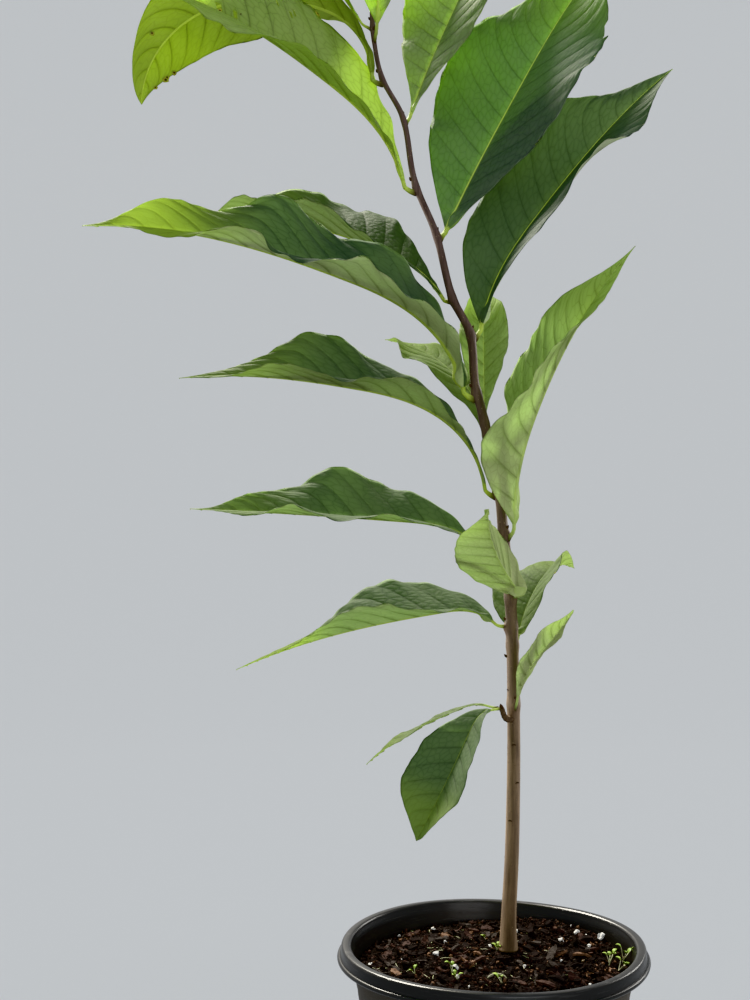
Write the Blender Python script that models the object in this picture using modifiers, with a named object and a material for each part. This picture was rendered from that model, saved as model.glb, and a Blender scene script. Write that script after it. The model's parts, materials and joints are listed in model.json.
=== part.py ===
"""A young pawpaw tree in a round plastic nursery pot.

Metres, +Z up. The origin is the middle of the pot's flat underside. +X is the viewer's right
and +Y points away from the viewer. One slender trunk carries a short spur and large leaves,
each leaf set on its own node of the wood.
"""

import math
from dataclasses import dataclass

import bmesh
import bpy
from mathutils import Vector

GAP = 0.0003
"""Clearance between pieces that touch on the plant."""

# Pot
POT_HEIGHT = 0.165
POT_LIP_RADIUS = 0.084
POT_LIP_HEIGHT = 0.0085
POT_FOOT_RADIUS = 0.0636
POT_TAPER = 0.062
POT_SHOULDER = 0.037
POT_SHOULDER_FLARE = 0.0042
POT_WALL = 0.0018
POT_CORNER = 0.004
POT_SIDES = 40
DRAIN_HOLES = 8
DRAIN_RADIUS = 0.006
DRAIN_HEIGHT = 0.014

# Potting mix
SOIL_HEIGHT = 0.1553
SOIL_EDGE_HEIGHT = 0.1535
SOIL_CROWN_RADIUS = 0.036

# Trunk: half its diameter by height, and its course to the right and away from the viewer
TRUNK_FOOT = SOIL_HEIGHT + GAP
TRUNK_TIP = 0.6740
TRUNK_RADIUS_LOW = 0.0041
TRUNK_RADIUS_HIGH = 0.0011
TRUNK_TAPER = 0.85
FLARE_RADIUS = 0.0012
FLARE_REACH = 0.010
TRUNK_COURSE = (
    (0.1556, 0.0103, 0.0180),
    (0.1700, 0.0103, 0.0180),
    (0.2130, 0.0124, 0.0180),
    (0.2810, 0.0132, 0.0180),
    (0.3490, 0.0114, 0.0180),
    (0.3870, 0.0073, 0.0175),
    (0.4090, 0.0050, 0.0170),
    (0.4540, -0.0048, 0.0165),
    (0.4680, -0.0084, 0.0160),
    (0.4960, -0.0112, 0.0160),
    (0.5160, -0.0210, 0.0155),
    (0.5510, -0.0300, 0.0155),
    (0.5800, -0.0418, 0.0150),
    (0.6150, -0.0483, 0.0150),
    (0.6370, -0.0597, 0.0150),
    (0.6560, -0.0640, 0.0150),
    (0.6740, -0.0655, 0.0150),
)
TRUNK_STEP = 0.012
NODE_SWELL = 0.14
NODE_REACH = 0.0026

# Spur: a short side twig on the front of the trunk
SPUR_HEIGHT = 0.2830
SPUR_AZIMUTH = 232.0
SPUR_LENGTH = 0.0120
SPUR_RISE = 62.0
SPUR_RADIUS = 0.0015

# Leaf rule
STALK_LENGTH = 0.008
STALK_SHARE = 0.12
STALK_HALF_WIDTH = 0.006
STALK_LEAST = 0.0007
TIP_HALF_WIDTH = 0.0010
TIP_EASE = 0.15
STALK_TURN = 0.6
FOOT_POWER = 1.7
TIP_POWER = 1.5
FOLD_EASE = 0.004
CREST_SHIFT = 0.12
THICKNESS_SHARE = 0.0105
SPINE_STEPS = 96
STALK_CELLS = 3
BLADE_CELLS = 10
CELLS_ACROSS = 6


@dataclass
class Leaf:
    """One leaf: angles in degrees, sizes in metres.

    azimuth runs from the viewer's right (0) through away (90). hook is added to it where the
    stalk leaves the wood, and sweep by the tip. rise, middle and fall are the blade's angles
    above level at its foot, its middle and its tip, and bend is the share of the blade at
    which it has come round to middle. fold lifts each half at the midrib and curl adds to
    that at the margin. roll turns the blade about its midrib, and twist adds to that by the
    tip. belly is the share of the blade at which it is widest, and point how drawn out its
    tip is. wave is how high the margins wave halfway along, less near the foot and more near
    the tip, waves how often, and crest a share of the length at which the half on the blade's
    left stands highest.
    """

    name: str
    height: float
    azimuth: float
    rise: float
    middle: float
    fall: float
    bend: float
    length: float
    width: float
    hook: float = 0.0
    sweep: float = 0.0
    fold: float = 35.0
    curl: float = -10.0
    roll: float = 0.0
    twist: float = 0.0
    belly: float = 0.54
    point: float = 1.3
    wave: float = 0.004
    waves: float = 2.4
    crest: float = 0.35
    carrier: str = "trunk"


LEAVES = (
    Leaf("leaf_01", 0.288, 175, 12, -24, -43, 0.2, 0.083, 0.018, hook=-20, fold=8, curl=0,
         wave=0.001, carrier="spur"),
    Leaf("leaf_02", 0.288, 204, 0, -62, -57, 0.2, 0.090, 0.052, hook=28, fold=26, curl=0, roll=14,
         belly=0.56, point=1.0, wave=0.0015, carrier="spur"),
    Leaf("leaf_03", 0.291, -23, 77, 50, 57, 0.6, 0.066, 0.030, hook=-60, fold=16, roll=10,
         point=1.0, wave=0.001),
    Leaf("leaf_04", 0.3236, 62, 66, 44, -28, 0.45, 0.079, 0.050, sweep=-25, fold=32, roll=14,
         belly=0.42, wave=0.002),
    Leaf("leaf_05", 0.334, 187, 42, -9, -24, 0.2, 0.155, 0.062, fold=32, roll=20, twist=-30,
         belly=0.38, point=1.9, wave=0.005, waves=1.6, crest=0.42),
    Leaf("leaf_06", 0.350, -140, 42, 40, 42, 0.5, 0.078, 0.050, hook=75, sweep=48, fold=66,
         roll=-58, belly=0.36, point=1.1, wave=0.001),
    Leaf("leaf_07", 0.371, 177, 50, 4, 2, 0.3, 0.180, 0.064, fold=35, roll=24, belly=0.5,
         point=2.0, wave=0.004, waves=3.2, crest=0.55),
    Leaf("leaf_08", 0.385, -75, 88, 62, 48, 0.4, 0.174, 0.063, hook=30, sweep=65, fold=45,
         roll=-14, twist=-62, belly=0.4, point=1.8, wave=0.004, waves=2.4, crest=0.25),
    Leaf("leaf_09", 0.438, 108, 74, 32, 8, 0.45, 0.118, 0.046, sweep=35, fold=8, wave=0.003),
    Leaf("leaf_10", 0.409, 186, 81, 9, -7, 0.5, 0.200, 0.068, hook=-6, fold=38, roll=5, twist=27,
         belly=0.53, point=2.2, wave=0.005, waves=2.4, crest=0.64),
    Leaf("leaf_11", 0.447, 86, 62, 55, 45, 0.5, 0.108, 0.032, fold=35, wave=0.003),
    Leaf("leaf_12", 0.463, 199, 76, 17, -6, 0.4, 0.242, 0.078, fold=34, roll=22, twist=16,
         belly=0.44, point=1.25, wave=0.006, waves=3.7, crest=0.58),
    Leaf("leaf_13", 0.4955, 26, 77, 50, 38, 0.35, 0.218, 0.080, fold=36, curl=0, roll=-8,
         twist=-36, belly=0.44, point=1.4, wave=0.008, waves=2.1, crest=0.50),
    Leaf("leaf_14", 0.5155, 130, 50, 21, 1, 0.4, 0.188, 0.070, sweep=36, fold=38, roll=10,
         belly=0.6, wave=0.004, waves=2.4, crest=0.78),
    Leaf("leaf_15", 0.550, 44, 58, 54, 45, 0.5, 0.240, 0.096, fold=20, curl=-4, roll=-20,
         belly=0.5, point=1.1, wave=0.005, crest=0.45),
    Leaf("leaf_16", 0.577, 187, 76, 36, 0, 0.34, 0.218, 0.080, fold=36, roll=18, twist=48,
         wave=0.005, crest=0.28),
    Leaf("leaf_17", 0.614, 57, 60, 54, 42, 0.5, 0.180, 0.066, fold=18, belly=0.56, crest=0.5),
    Leaf("leaf_18", 0.637, 158, 87, 11.5, -91, 0.4, 0.208, 0.060, fold=28, twist=-74, point=1.0),
    Leaf("leaf_19", 0.660, -72, 80, 74, 50, 0.5, 0.150, 0.052, belly=0.47),
    Leaf("leaf_20", 0.666, 168, 58, 50, 15, 0.5, 0.125, 0.046, wave=0.003),
    Leaf("leaf_21", 0.6715, 75, 62, 58, 45, 0.5, 0.095, 0.032, wave=0.003),
)


def smoothstep(value):
    """Ease from 0 to 1 as the value goes from 0 to 1."""
    value = min(1.0, max(0.0, value))
    return value * value * (3.0 - 2.0 * value)


def trunk_centre(height):
    """The trunk's centre at a height, on a smooth curve through its course."""
    course = TRUNK_COURSE
    last = len(course) - 1
    index = 0
    while index < last - 1 and height > course[index + 1][0]:
        index += 1
    low, high = course[index], course[index + 1]
    before = course[max(0, index - 1)]
    after = course[min(last, index + 2)]
    span = high[0] - low[0]
    share = (height - low[0]) / span
    centre = []
    for axis in (1, 2):
        slope_low = (high[axis] - before[axis]) / (high[0] - before[0]) * span
        slope_high = (after[axis] - low[axis]) / (after[0] - low[0]) * span
        if index == 0:
            slope_low = 0.0
        a = 2.0 * low[axis] - 2.0 * high[axis] + slope_low + slope_high
        b = 3.0 * high[axis] - 3.0 * low[axis] - 2.0 * slope_low - slope_high
        centre.append(((a * share + b) * share + slope_low) * share + low[axis])
    return Vector((centre[0], centre[1], height))


def trunk_tangent(height):
    """The direction in which the trunk grows at a height."""
    step = 0.001
    low = max(TRUNK_FOOT, height - step)
    high = min(TRUNK_TIP, height + step)
    return (trunk_centre(high) - trunk_centre(low)).normalized()


def trunk_radius(height):
    """Half the trunk's diameter: its taper, the flare at its foot and its swollen nodes."""
    share = (height - TRUNK_FOOT) / (TRUNK_TIP - TRUNK_FOOT)
    radius = TRUNK_RADIUS_LOW + (TRUNK_RADIUS_HIGH - TRUNK_RADIUS_LOW) * share ** (1 / TRUNK_TAPER)
    radius += FLARE_RADIUS * math.exp(-(height - TRUNK_FOOT) / FLARE_REACH)
    for leaf in LEAVES:
        if leaf.carrier == "trunk":
            distance = (height - leaf.height) / NODE_REACH
            radius *= 1.0 + NODE_SWELL * math.exp(-0.5 * distance * distance)
    return radius


def trunk_heights():
    """Heights of the trunk's rings: three at each node, and even steps between the nodes."""
    marks = {TRUNK_FOOT, TRUNK_FOOT + 0.006, TRUNK_FOOT + 0.014, TRUNK_TIP}
    for leaf in LEAVES:
        if leaf.carrier == "trunk":
            for offset in (-1.6, 0.0, 1.6):
                marks.add(leaf.height + offset * NODE_REACH)
    marks = sorted(mark for mark in marks if TRUNK_FOOT <= mark <= TRUNK_TIP)
    heights = [marks[0]]
    for mark in marks[1:]:
        space = mark - heights[-1]
        if space < 0.4 * NODE_REACH:
            continue
        pieces = max(1, math.ceil(space / TRUNK_STEP))
        start = heights[-1]
        for piece in range(1, pieces + 1):
            heights.append(start + space * piece / pieces)
    return heights


def azimuth_vector(degrees):
    """The level direction of an azimuth."""
    angle = math.radians(degrees)
    return Vector((math.cos(angle), math.sin(angle), 0.0))


def spur_points():
    """The spur's centre line, from just outside the trunk to its tip."""
    outward = azimuth_vector(SPUR_AZIMUTH)
    start = trunk_centre(SPUR_HEIGHT) + outward * (trunk_radius(SPUR_HEIGHT) + GAP)
    steps = 5
    points = [start]
    for step in range(1, steps + 1):
        angle = math.radians(SPUR_RISE) * smoothstep(1.4 * (step - 0.5) / steps)
        move = outward * math.cos(angle) + Vector((0.0, 0.0, math.sin(angle)))
        points.append(points[-1] + move * SPUR_LENGTH / steps)
    return points


def leaf_stalk_share(leaf):
    """The share of a leaf's length that is its stalk."""
    return min(STALK_LENGTH / leaf.length, STALK_SHARE)


def leaf_start(leaf):
    """Where a leaf's stalk starts, clear of the wood, and the direction in which it leaves."""
    outward = azimuth_vector(leaf.azimuth + leaf.hook)
    if leaf.carrier == "spur":
        return spur_points()[-1] + outward * (SPUR_RADIUS + GAP), outward
    tangent = trunk_tangent(leaf.height)
    outward = (outward - tangent * outward.dot(tangent)).normalized()
    return trunk_centre(leaf.height) + outward * (trunk_radius(leaf.height) + GAP), outward


def blade_rise(leaf, blade):
    """The blade's angle above level, in degrees, at a share of the blade's length."""
    foot = max(0.0, 1.0 - blade / leaf.bend)
    tip = max(0.0, (blade - leaf.bend) / (1.0 - leaf.bend))
    rise = leaf.middle + (leaf.rise - leaf.middle) * foot ** FOOT_POWER
    return rise + (leaf.fall - leaf.middle) * tip ** TIP_POWER


def leaf_spine(leaf):
    """Stations along the midrib: a point and the along, across and up directions."""
    point, outward = leaf_start(leaf)
    stalk = leaf_stalk_share(leaf)
    first = math.degrees(math.asin(outward.z))
    stations = []
    for step in range(SPINE_STEPS + 1):
        share = step / SPINE_STEPS
        if share < stalk:
            rise = first + (leaf.rise - first) * smoothstep(share / (STALK_TURN * stalk))
        else:
            rise = blade_rise(leaf, (share - stalk) / (1.0 - stalk))
        hook = leaf.hook * (1.0 - smoothstep(0.6 * share / stalk))
        heading = azimuth_vector(leaf.azimuth + hook + leaf.sweep * share)
        rise = math.radians(rise)
        roll = math.radians(leaf.roll + leaf.twist * share) * smoothstep(share / stalk)
        along = heading * math.cos(rise) + Vector((0.0, 0.0, math.sin(rise)))
        up = Vector((0.0, 0.0, math.cos(rise))) - heading * math.sin(rise)
        side = along.cross(up)
        across = side * math.cos(roll) + up * math.sin(roll)
        up = up * math.cos(roll) - side * math.sin(roll)
        stations.append((point.copy(), along, across, up))
        point += along * (leaf.length / SPINE_STEPS)
    return stations


def leaf_half_width(leaf, share):
    """Half the leaf's width at a share of its length."""
    stalk = leaf_stalk_share(leaf)
    stem = max(STALK_LEAST, STALK_HALF_WIDTH * leaf.length)
    if share <= stalk:
        return stem
    blade = (share - stalk) / (1.0 - stalk)
    foot_shape = leaf.point * leaf.belly / (1.0 - leaf.belly)
    most = leaf.belly ** foot_shape * (1.0 - leaf.belly) ** leaf.point
    shape = blade ** foot_shape * (1.0 - blade) ** leaf.point / most
    edge = stem + (TIP_HALF_WIDTH - stem) * blade
    return edge + (0.5 * leaf.width - edge) * shape


def leaf_point(leaf, stations, share, across):
    """A point of the leaf's middle surface: across runs from -1 to 1, margin to margin."""
    place = share * SPINE_STEPS
    index = min(SPINE_STEPS - 1, int(place))
    part = place - index
    low, high = stations[index], stations[index + 1]
    point, _, side, up = (low[item].lerp(high[item], part) for item in range(4))
    half = leaf_half_width(leaf, share)
    ease = half / (half + FOLD_EASE) * smoothstep((1.0 - share) / TIP_EASE)
    reach = abs(across)
    inner = math.radians(leaf.fold) * ease
    turn = math.radians(leaf.curl) * ease
    if abs(turn) < 1e-4:
        level = half * reach * math.cos(inner)
        lift = half * reach * math.sin(inner)
    else:
        level = half / turn * (math.sin(inner + turn * reach) - math.sin(inner))
        lift = half / turn * (math.cos(inner) - math.cos(inner + turn * reach))
    crest = leaf.crest + (0.0 if across > 0.0 else CREST_SHIFT)
    swell = 2.0 * half / leaf.width
    turn = math.tau * leaf.waves * (share - crest)
    lift += 2.0 * leaf.wave * share * swell * reach ** 1.8 * math.cos(turn)
    return point + side * math.copysign(level, across) + up * lift


def leaf_shares(leaf):
    """Shares of the length at which the leaf's rows of cells end."""
    stalk = leaf_stalk_share(leaf)
    shares = [stalk * cell / STALK_CELLS for cell in range(STALK_CELLS)]
    for cell in range(BLADE_CELLS + 1):
        even = cell / BLADE_CELLS
        eased = 0.5 - 0.5 * math.cos(math.pi * even)
        shares.append(stalk + (1.0 - stalk) * (0.55 * even + 0.45 * eased))
    return shares


def material(name, colour, roughness, metallic=0.0):
    """A plain Principled material."""
    made = bpy.data.materials.new(name)
    made.use_nodes = True
    shader = made.node_tree.nodes["Principled BSDF"]
    shader.inputs["Base Color"].default_value = (*colour, 1.0)
    shader.inputs["Roughness"].default_value = roughness
    shader.inputs["Metallic"].default_value = metallic
    made.diffuse_color = (*colour, 1.0)
    return made


def add_object(name, data, collection, coat=None):
    """Link a new object with its material."""
    made = bpy.data.objects.new(name, data)
    collection.objects.link(made)
    if coat:
        data.materials.append(coat)
    return made


def turned(name, profile, collection, coat):
    """A turned solid: an open profile of (radius, height) with a Screw modifier."""
    mesh = bpy.data.meshes.new(name)
    points = [(radius, 0.0, height) for radius, height in profile]
    edges = [(index, index + 1) for index in range(len(points) - 1)]
    mesh.from_pydata(points, edges, [])
    made = add_object(name, mesh, collection, coat)
    screw = made.modifiers.new("Turn", "SCREW")
    screw.angle = math.tau
    screw.steps = POT_SIDES
    screw.render_steps = POT_SIDES
    screw.use_merge_vertices = True
    screw.merge_threshold = 0.00001
    screw.use_smooth_shade = True
    return made


def pot_wall_radius(height):
    """The pot's outer radius below its lip: a straight taper that flares at the shoulder."""
    flare = max(0.0, (height - POT_HEIGHT) / POT_SHOULDER + 1.0)
    return POT_FOOT_RADIUS + POT_TAPER * height + POT_SHOULDER_FLARE * flare ** 1.5


def pot_inner_radius(height):
    """The pot's inner radius at a height."""
    return pot_wall_radius(height) - POT_WALL


def make_pot(collection, cutters):
    """The pot: a tapered shell with a folded lip, and drain holes low in its wall."""
    shoulder = POT_HEIGHT - POT_SHOULDER
    under = POT_HEIGHT - 0.0030
    skirt = POT_HEIGHT - POT_LIP_HEIGHT
    profile = [
        (0.0, POT_WALL),
        (POT_FOOT_RADIUS - POT_CORNER, POT_WALL),
        (pot_inner_radius(POT_CORNER), POT_WALL + 0.5 * POT_CORNER),
        (pot_inner_radius(shoulder), shoulder),
        (pot_inner_radius(shoulder + 0.015), shoulder + 0.015),
        (pot_inner_radius(shoulder + 0.026), shoulder + 0.026),
        (pot_inner_radius(POT_HEIGHT), POT_HEIGHT - 0.0022),
        (pot_inner_radius(POT_HEIGHT) + 0.0008, POT_HEIGHT - 0.0006),
        (pot_inner_radius(POT_HEIGHT) + 0.0024, POT_HEIGHT),
        (POT_LIP_RADIUS - 0.0034, POT_HEIGHT - 0.0010),
        (POT_LIP_RADIUS - 0.0020, POT_HEIGHT - 0.0042),
        (POT_LIP_RADIUS - 0.0002, POT_HEIGHT - 0.0056),
        (POT_LIP_RADIUS, POT_HEIGHT - 0.0070),
        (POT_LIP_RADIUS - 0.0018, skirt),
        (POT_LIP_RADIUS - 0.0030, POT_HEIGHT - 0.0076),
        (POT_LIP_RADIUS - 0.0040, POT_HEIGHT - 0.0052),
        (POT_LIP_RADIUS - 0.0052, under),
        (pot_wall_radius(under), under),
        (pot_wall_radius(shoulder + 0.026), shoulder + 0.026),
        (pot_wall_radius(shoulder + 0.015), shoulder + 0.015),
        (pot_wall_radius(shoulder), shoulder),
        (pot_wall_radius(POT_CORNER), POT_CORNER),
        (POT_FOOT_RADIUS - POT_CORNER, 0.0),
        (0.0, 0.0),
    ]
    coat = material("black_plastic", (0.016, 0.017, 0.018), 0.45)
    pot = turned("pot", profile, collection, coat)
    for hole in range(DRAIN_HOLES):
        angle = math.tau * (hole + 0.5) / DRAIN_HOLES
        cut = bmesh.new()
        bmesh.ops.create_cone(
            cut, cap_ends=True, segments=12, radius1=DRAIN_RADIUS, radius2=DRAIN_RADIUS, depth=0.02
        )
        mesh = bpy.data.meshes.new("drain_cutter")
        cut.to_mesh(mesh)
        cut.free()
        cutter = add_object(f"drain_cutter_{hole + 1}", mesh, cutters)
        cutter.location = azimuth_vector(math.degrees(angle)) * POT_FOOT_RADIUS
        cutter.location.z = DRAIN_HEIGHT
        cutter.rotation_euler = (0.0, 0.5 * math.pi, angle)
        cutter.hide_render = True
        cutter.display_type = "WIRE"
    drain = pot.modifiers.new("Drain holes", "BOOLEAN")
    drain.operation = "DIFFERENCE"
    drain.operand_type = "COLLECTION"
    drain.collection = cutters


def make_soil(collection):
    """The potting mix: a plug that fills the pot, crowned round the trunk."""
    shoulder = POT_HEIGHT - POT_SHOULDER
    floor = POT_WALL + GAP
    profile = [
        (0.0, SOIL_HEIGHT),
        (SOIL_CROWN_RADIUS, SOIL_HEIGHT),
        (0.055, 0.5 * (SOIL_HEIGHT + SOIL_EDGE_HEIGHT) + 0.0003),
        (pot_inner_radius(SOIL_EDGE_HEIGHT) - 2.0 * GAP, SOIL_EDGE_HEIGHT),
        (pot_inner_radius(shoulder + 0.015) - 2.0 * GAP, shoulder + 0.015),
        (pot_inner_radius(shoulder) - GAP, shoulder),
        (pot_inner_radius(POT_CORNER) - GAP, POT_WALL + 0.5 * POT_CORNER + GAP),
        (POT_FOOT_RADIUS - POT_CORNER - GAP, floor),
        (0.0, floor),
    ]
    turned("soil", profile, collection, material("potting_mix", (0.035, 0.022, 0.015), 0.95))


def make_limb(name, points, radii, collection, coat, sides):
    """A tapering round limb: a curve with a radius at each point and filled caps."""
    curve = bpy.data.curves.new(name, "CURVE")
    curve.dimensions = "3D"
    curve.bevel_depth = radii[0]
    curve.bevel_resolution = sides
    curve.use_fill_caps = True
    spline = curve.splines.new("POLY")
    spline.points.add(len(points) - 1)
    for spot, point, radius in zip(spline.points, points, radii):
        spot.co = (*point, 1.0)
        spot.radius = radius / radii[0]
    spline.use_smooth = True
    return add_object(name, curve, collection, coat)


def make_wood(collection):
    """The trunk and its spur."""
    bark = material("bark", (0.150, 0.088, 0.050), 0.75)
    heights = trunk_heights()
    points = [trunk_centre(height) for height in heights]
    radii = [trunk_radius(height) for height in heights]
    make_limb("trunk", points, radii, collection, bark, 2)
    points = spur_points()
    last = len(points) - 1
    radii = [SPUR_RADIUS * (1.2 - 0.2 * index / last) for index in range(last + 1)]
    make_limb("spur", points, radii, collection, bark, 1)


def make_leaf(leaf, collection, coat):
    """A leaf: a grid laid over the leaf's surface and thickened."""
    stations = leaf_spine(leaf)
    shares = leaf_shares(leaf)
    rows = len(shares) - 1
    grid = bmesh.new()
    bmesh.ops.create_grid(grid, x_segments=rows, y_segments=CELLS_ACROSS, size=1.0)
    for vertex in grid.verts:
        row = round((vertex.co.x + 1.0) * 0.5 * rows)
        vertex.co = leaf_point(leaf, stations, shares[row], -vertex.co.y)
    mesh = bpy.data.meshes.new(leaf.name)
    grid.to_mesh(mesh)
    grid.free()
    mesh.shade_smooth()
    made = add_object(leaf.name, mesh, collection, coat)
    skin = made.modifiers.new("Thickness", "SOLIDIFY")
    skin.thickness = THICKNESS_SHARE * leaf.length
    skin.offset = 0.0


def main():
    """Build the potted tree in an empty scene."""
    for old in list(bpy.data.objects):
        bpy.data.objects.remove(old, do_unlink=True)
    scene = bpy.context.scene
    tree = bpy.data.collections.new("potted_pawpaw_tree")
    cutters = bpy.data.collections.new("cutters")
    scene.collection.children.link(tree)
    scene.collection.children.link(cutters)
    make_pot(tree, cutters)
    make_soil(tree)
    make_wood(tree)
    green = material("leaf_green", (0.075, 0.175, 0.035), 0.5)
    for leaf in LEAVES:
        make_leaf(leaf, tree, green)


main()
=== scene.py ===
"""Looks of the potted pawpaw tree: leaves, bark, buds, pot and potting mix, light and camera.

Metres, +Z up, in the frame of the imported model. The origin is the middle of the pot's flat
underside, +X is the viewer's right and +Y points away from the viewer.
"""

import json
import math
import random
from dataclasses import dataclass

import bmesh
import bpy
import numpy as np
from mathutils import Matrix, Vector, noise

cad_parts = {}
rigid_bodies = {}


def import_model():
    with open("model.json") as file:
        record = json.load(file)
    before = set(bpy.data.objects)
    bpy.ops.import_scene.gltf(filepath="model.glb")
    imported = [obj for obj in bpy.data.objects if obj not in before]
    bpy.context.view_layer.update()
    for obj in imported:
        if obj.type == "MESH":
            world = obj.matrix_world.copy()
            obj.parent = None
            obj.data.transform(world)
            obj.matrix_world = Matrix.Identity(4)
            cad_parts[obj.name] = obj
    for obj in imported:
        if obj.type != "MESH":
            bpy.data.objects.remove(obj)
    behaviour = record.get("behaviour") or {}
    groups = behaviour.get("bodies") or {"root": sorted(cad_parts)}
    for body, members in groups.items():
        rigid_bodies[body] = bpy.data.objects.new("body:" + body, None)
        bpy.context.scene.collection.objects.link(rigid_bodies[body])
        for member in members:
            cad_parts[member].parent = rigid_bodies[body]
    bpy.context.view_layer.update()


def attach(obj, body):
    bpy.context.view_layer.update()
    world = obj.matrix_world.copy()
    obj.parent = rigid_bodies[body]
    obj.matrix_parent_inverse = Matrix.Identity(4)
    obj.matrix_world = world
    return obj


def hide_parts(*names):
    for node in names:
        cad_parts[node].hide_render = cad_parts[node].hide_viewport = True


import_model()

# Photograph: its size and focal length in pixels, and its camera's sensor (mm) and place
PHOTO_WIDE = 750
PHOTO_HIGH = 1000
FOCAL_PIXELS = 1370
SENSOR = 36.0
CAMERA_PLACE = (-0.0637, -0.7417, 0.4040)

# Pot
POT_HEIGHT = 0.165
POT_LIP_RADIUS = 0.084
POT_FOOT_RADIUS = 0.0636
POT_TAPER = 0.062
POT_SHOULDER = 0.037
POT_SHOULDER_FLARE = 0.0042
POT_WALL = 0.0018
POT_CORNER = 0.004
POT_FLOOR_RING = 0.030
POT_SIDES = 192
POT_WARP = 0.0035
DRAIN_HOLES = 8
DRAIN_RADIUS = 0.006
DRAIN_HEIGHT = 0.014
DRAIN_DEPTH = 0.02

# Potting mix
SOIL_HEIGHT = 0.1553
SOIL_EDGE_HEIGHT = 0.1535
SOIL_SINK = 0.0012
SOIL_CELL = 0.0011
SOIL_SIDES = 300
SOIL_HEAP = 0.0050
SOIL_HEAP_WAY = 48.0
SOIL_HEAP_SPREAD = 38.0
SOIL_REACH = 0.0705
SOIL_SLACK = 0.0006
# Loose pieces on the mix: how many, their seeds and sizes
CHIPS, CRUMBS, PERLITE, ROOTLETS = 1500, 8000, 22, 46
CHIP_SEED, PERLITE_SEED, SEEDLING_SEED = 5, 8, 21
CHIP_WIDTH_MOST, CHIP_THICK_MOST = 0.0042, 0.0011
GRAIN_SIZES = (0.0005, 0.0013)
# Perlite grains that show: pixel of the photograph and size
GRAINS = (
    (435, 957, 0.0018), (455, 970, 0.0018), (577, 934, 0.0018), (610, 938, 0.0021),
    (561, 942, 0.0014), (433, 931, 0.0013), (589, 948, 0.0012),
)
# Seedlings: pixel of the photograph, height and number of leaves
SEEDLINGS = (
    (609, 966, 0.010, 5), (616, 972, 0.009, 4), (622, 964, 0.012, 4), (497, 950, 0.005, 3),
    (486, 940, 0.004, 2), (458, 981, 0.006, 3), (451, 975, 0.009, 2), (503, 985, 0.006, 2),
    (416, 975, 0.006, 2),
)
# The arched pale root: pixel of the photograph, half its span and its rise
ROOT_PIXEL = (497, 982)
ROOT_REACH = 0.0052
ROOT_RISE = 0.0036
STEM_RADIUS, ROOT_RADIUS, ROOTLET_RADIUS = 0.00032, 0.00035, 0.00016

# Trunk: its course is height, x and y
GAP = 0.0003
TRUNK_FOOT = SOIL_HEIGHT + GAP
TRUNK_TIP = 0.6740
TRUNK_RADIUS_LOW = 0.0041
TRUNK_RADIUS_HIGH = 0.0011
TRUNK_TAPER = 0.85
TRUNK_SINK = 0.0008
FLARE_RADIUS = 0.0012
FLARE_REACH = 0.010
TRUNK_COURSE = (
    (0.1556, 0.0103, 0.0180), (0.1700, 0.0103, 0.0180), (0.2130, 0.0124, 0.0180),
    (0.2810, 0.0132, 0.0180), (0.3490, 0.0114, 0.0180), (0.3870, 0.0073, 0.0175),
    (0.4090, 0.0050, 0.0170), (0.4540, -0.0048, 0.0165), (0.4680, -0.0084, 0.0160),
    (0.4960, -0.0112, 0.0160), (0.5160, -0.0210, 0.0155), (0.5510, -0.0300, 0.0155),
    (0.5800, -0.0418, 0.0150), (0.6150, -0.0483, 0.0150), (0.6370, -0.0597, 0.0150),
    (0.6560, -0.0640, 0.0150), (0.6740, -0.0655, 0.0150),
)
NODE_SWELL = 0.14
NODE_REACH = 0.0026
CUSHION_SWELL = 0.30
CUSHION_REACH = 0.0030
CUSHION_DROP = 0.0008
BARK_STEP = 0.0008
BARK_SIDES = 48
# Pores: how many, their seed, the range of half their width and half their thickness
LENTICELS = 420
LENTICEL_SEED = 11
LENTICEL_WIDTHS = (0.00012, 0.00026)
LENTICEL_THICK = 0.00012
# Old leaf scars: half of their thickness, width and height, how far their ends hang, and
# the height and azimuth of each
SCAR_SIZE = (0.00028, 0.00135, 0.00042)
SCAR_DROOP = 0.00045
SCARS = (
    (0.2690, -95.0), (0.2480, -60.0), (0.2270, -120.0), (0.2060, 150.0), (0.1900, 40.0),
    (0.2760, 80.0), (0.3050, 20.0), (0.2990, 196.0),
)

# Buds: height above the leaf, radius and length; then those of the bare, top and spur buds
BUD_RISE = 0.0034
BUD_SIZE = (0.0009, 0.0027)
BARE_BUD_HEIGHT = 0.3170
BARE_BUD_AZIMUTH = 184.0
BARE_BUD_SIZE = (0.0008, 0.0026)
TIP_BUD_SIZE = (0.0013, 0.0085)
SPUR_BUD_SIZE = (0.0013, 0.0040)

# Spur
SPUR_HEIGHT = 0.2830
SPUR_AZIMUTH = 232.0
SPUR_LENGTH = 0.0120
SPUR_RISE = 62.0
SPUR_RADIUS = 0.0015
SPUR_SINK = 0.0012
SPUR_STEPS = 14

# Leaf rule
STALK_LENGTH = 0.008
STALK_SHARE = 0.12
STALK_HALF_WIDTH = 0.006
STALK_LEAST = 0.0007
TIP_HALF_WIDTH = 0.0002
TIP_EASE = 0.05
STALK_TURN = 0.6
STALK_DROP = 0.0034
STALK_SINK = 0.0013
FOOT_POWER = 1.7
TIP_POWER = 1.5
FOLD_EASE = 0.004
CREST_SHIFT = 0.12
SPINE_STEPS = 96

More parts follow.
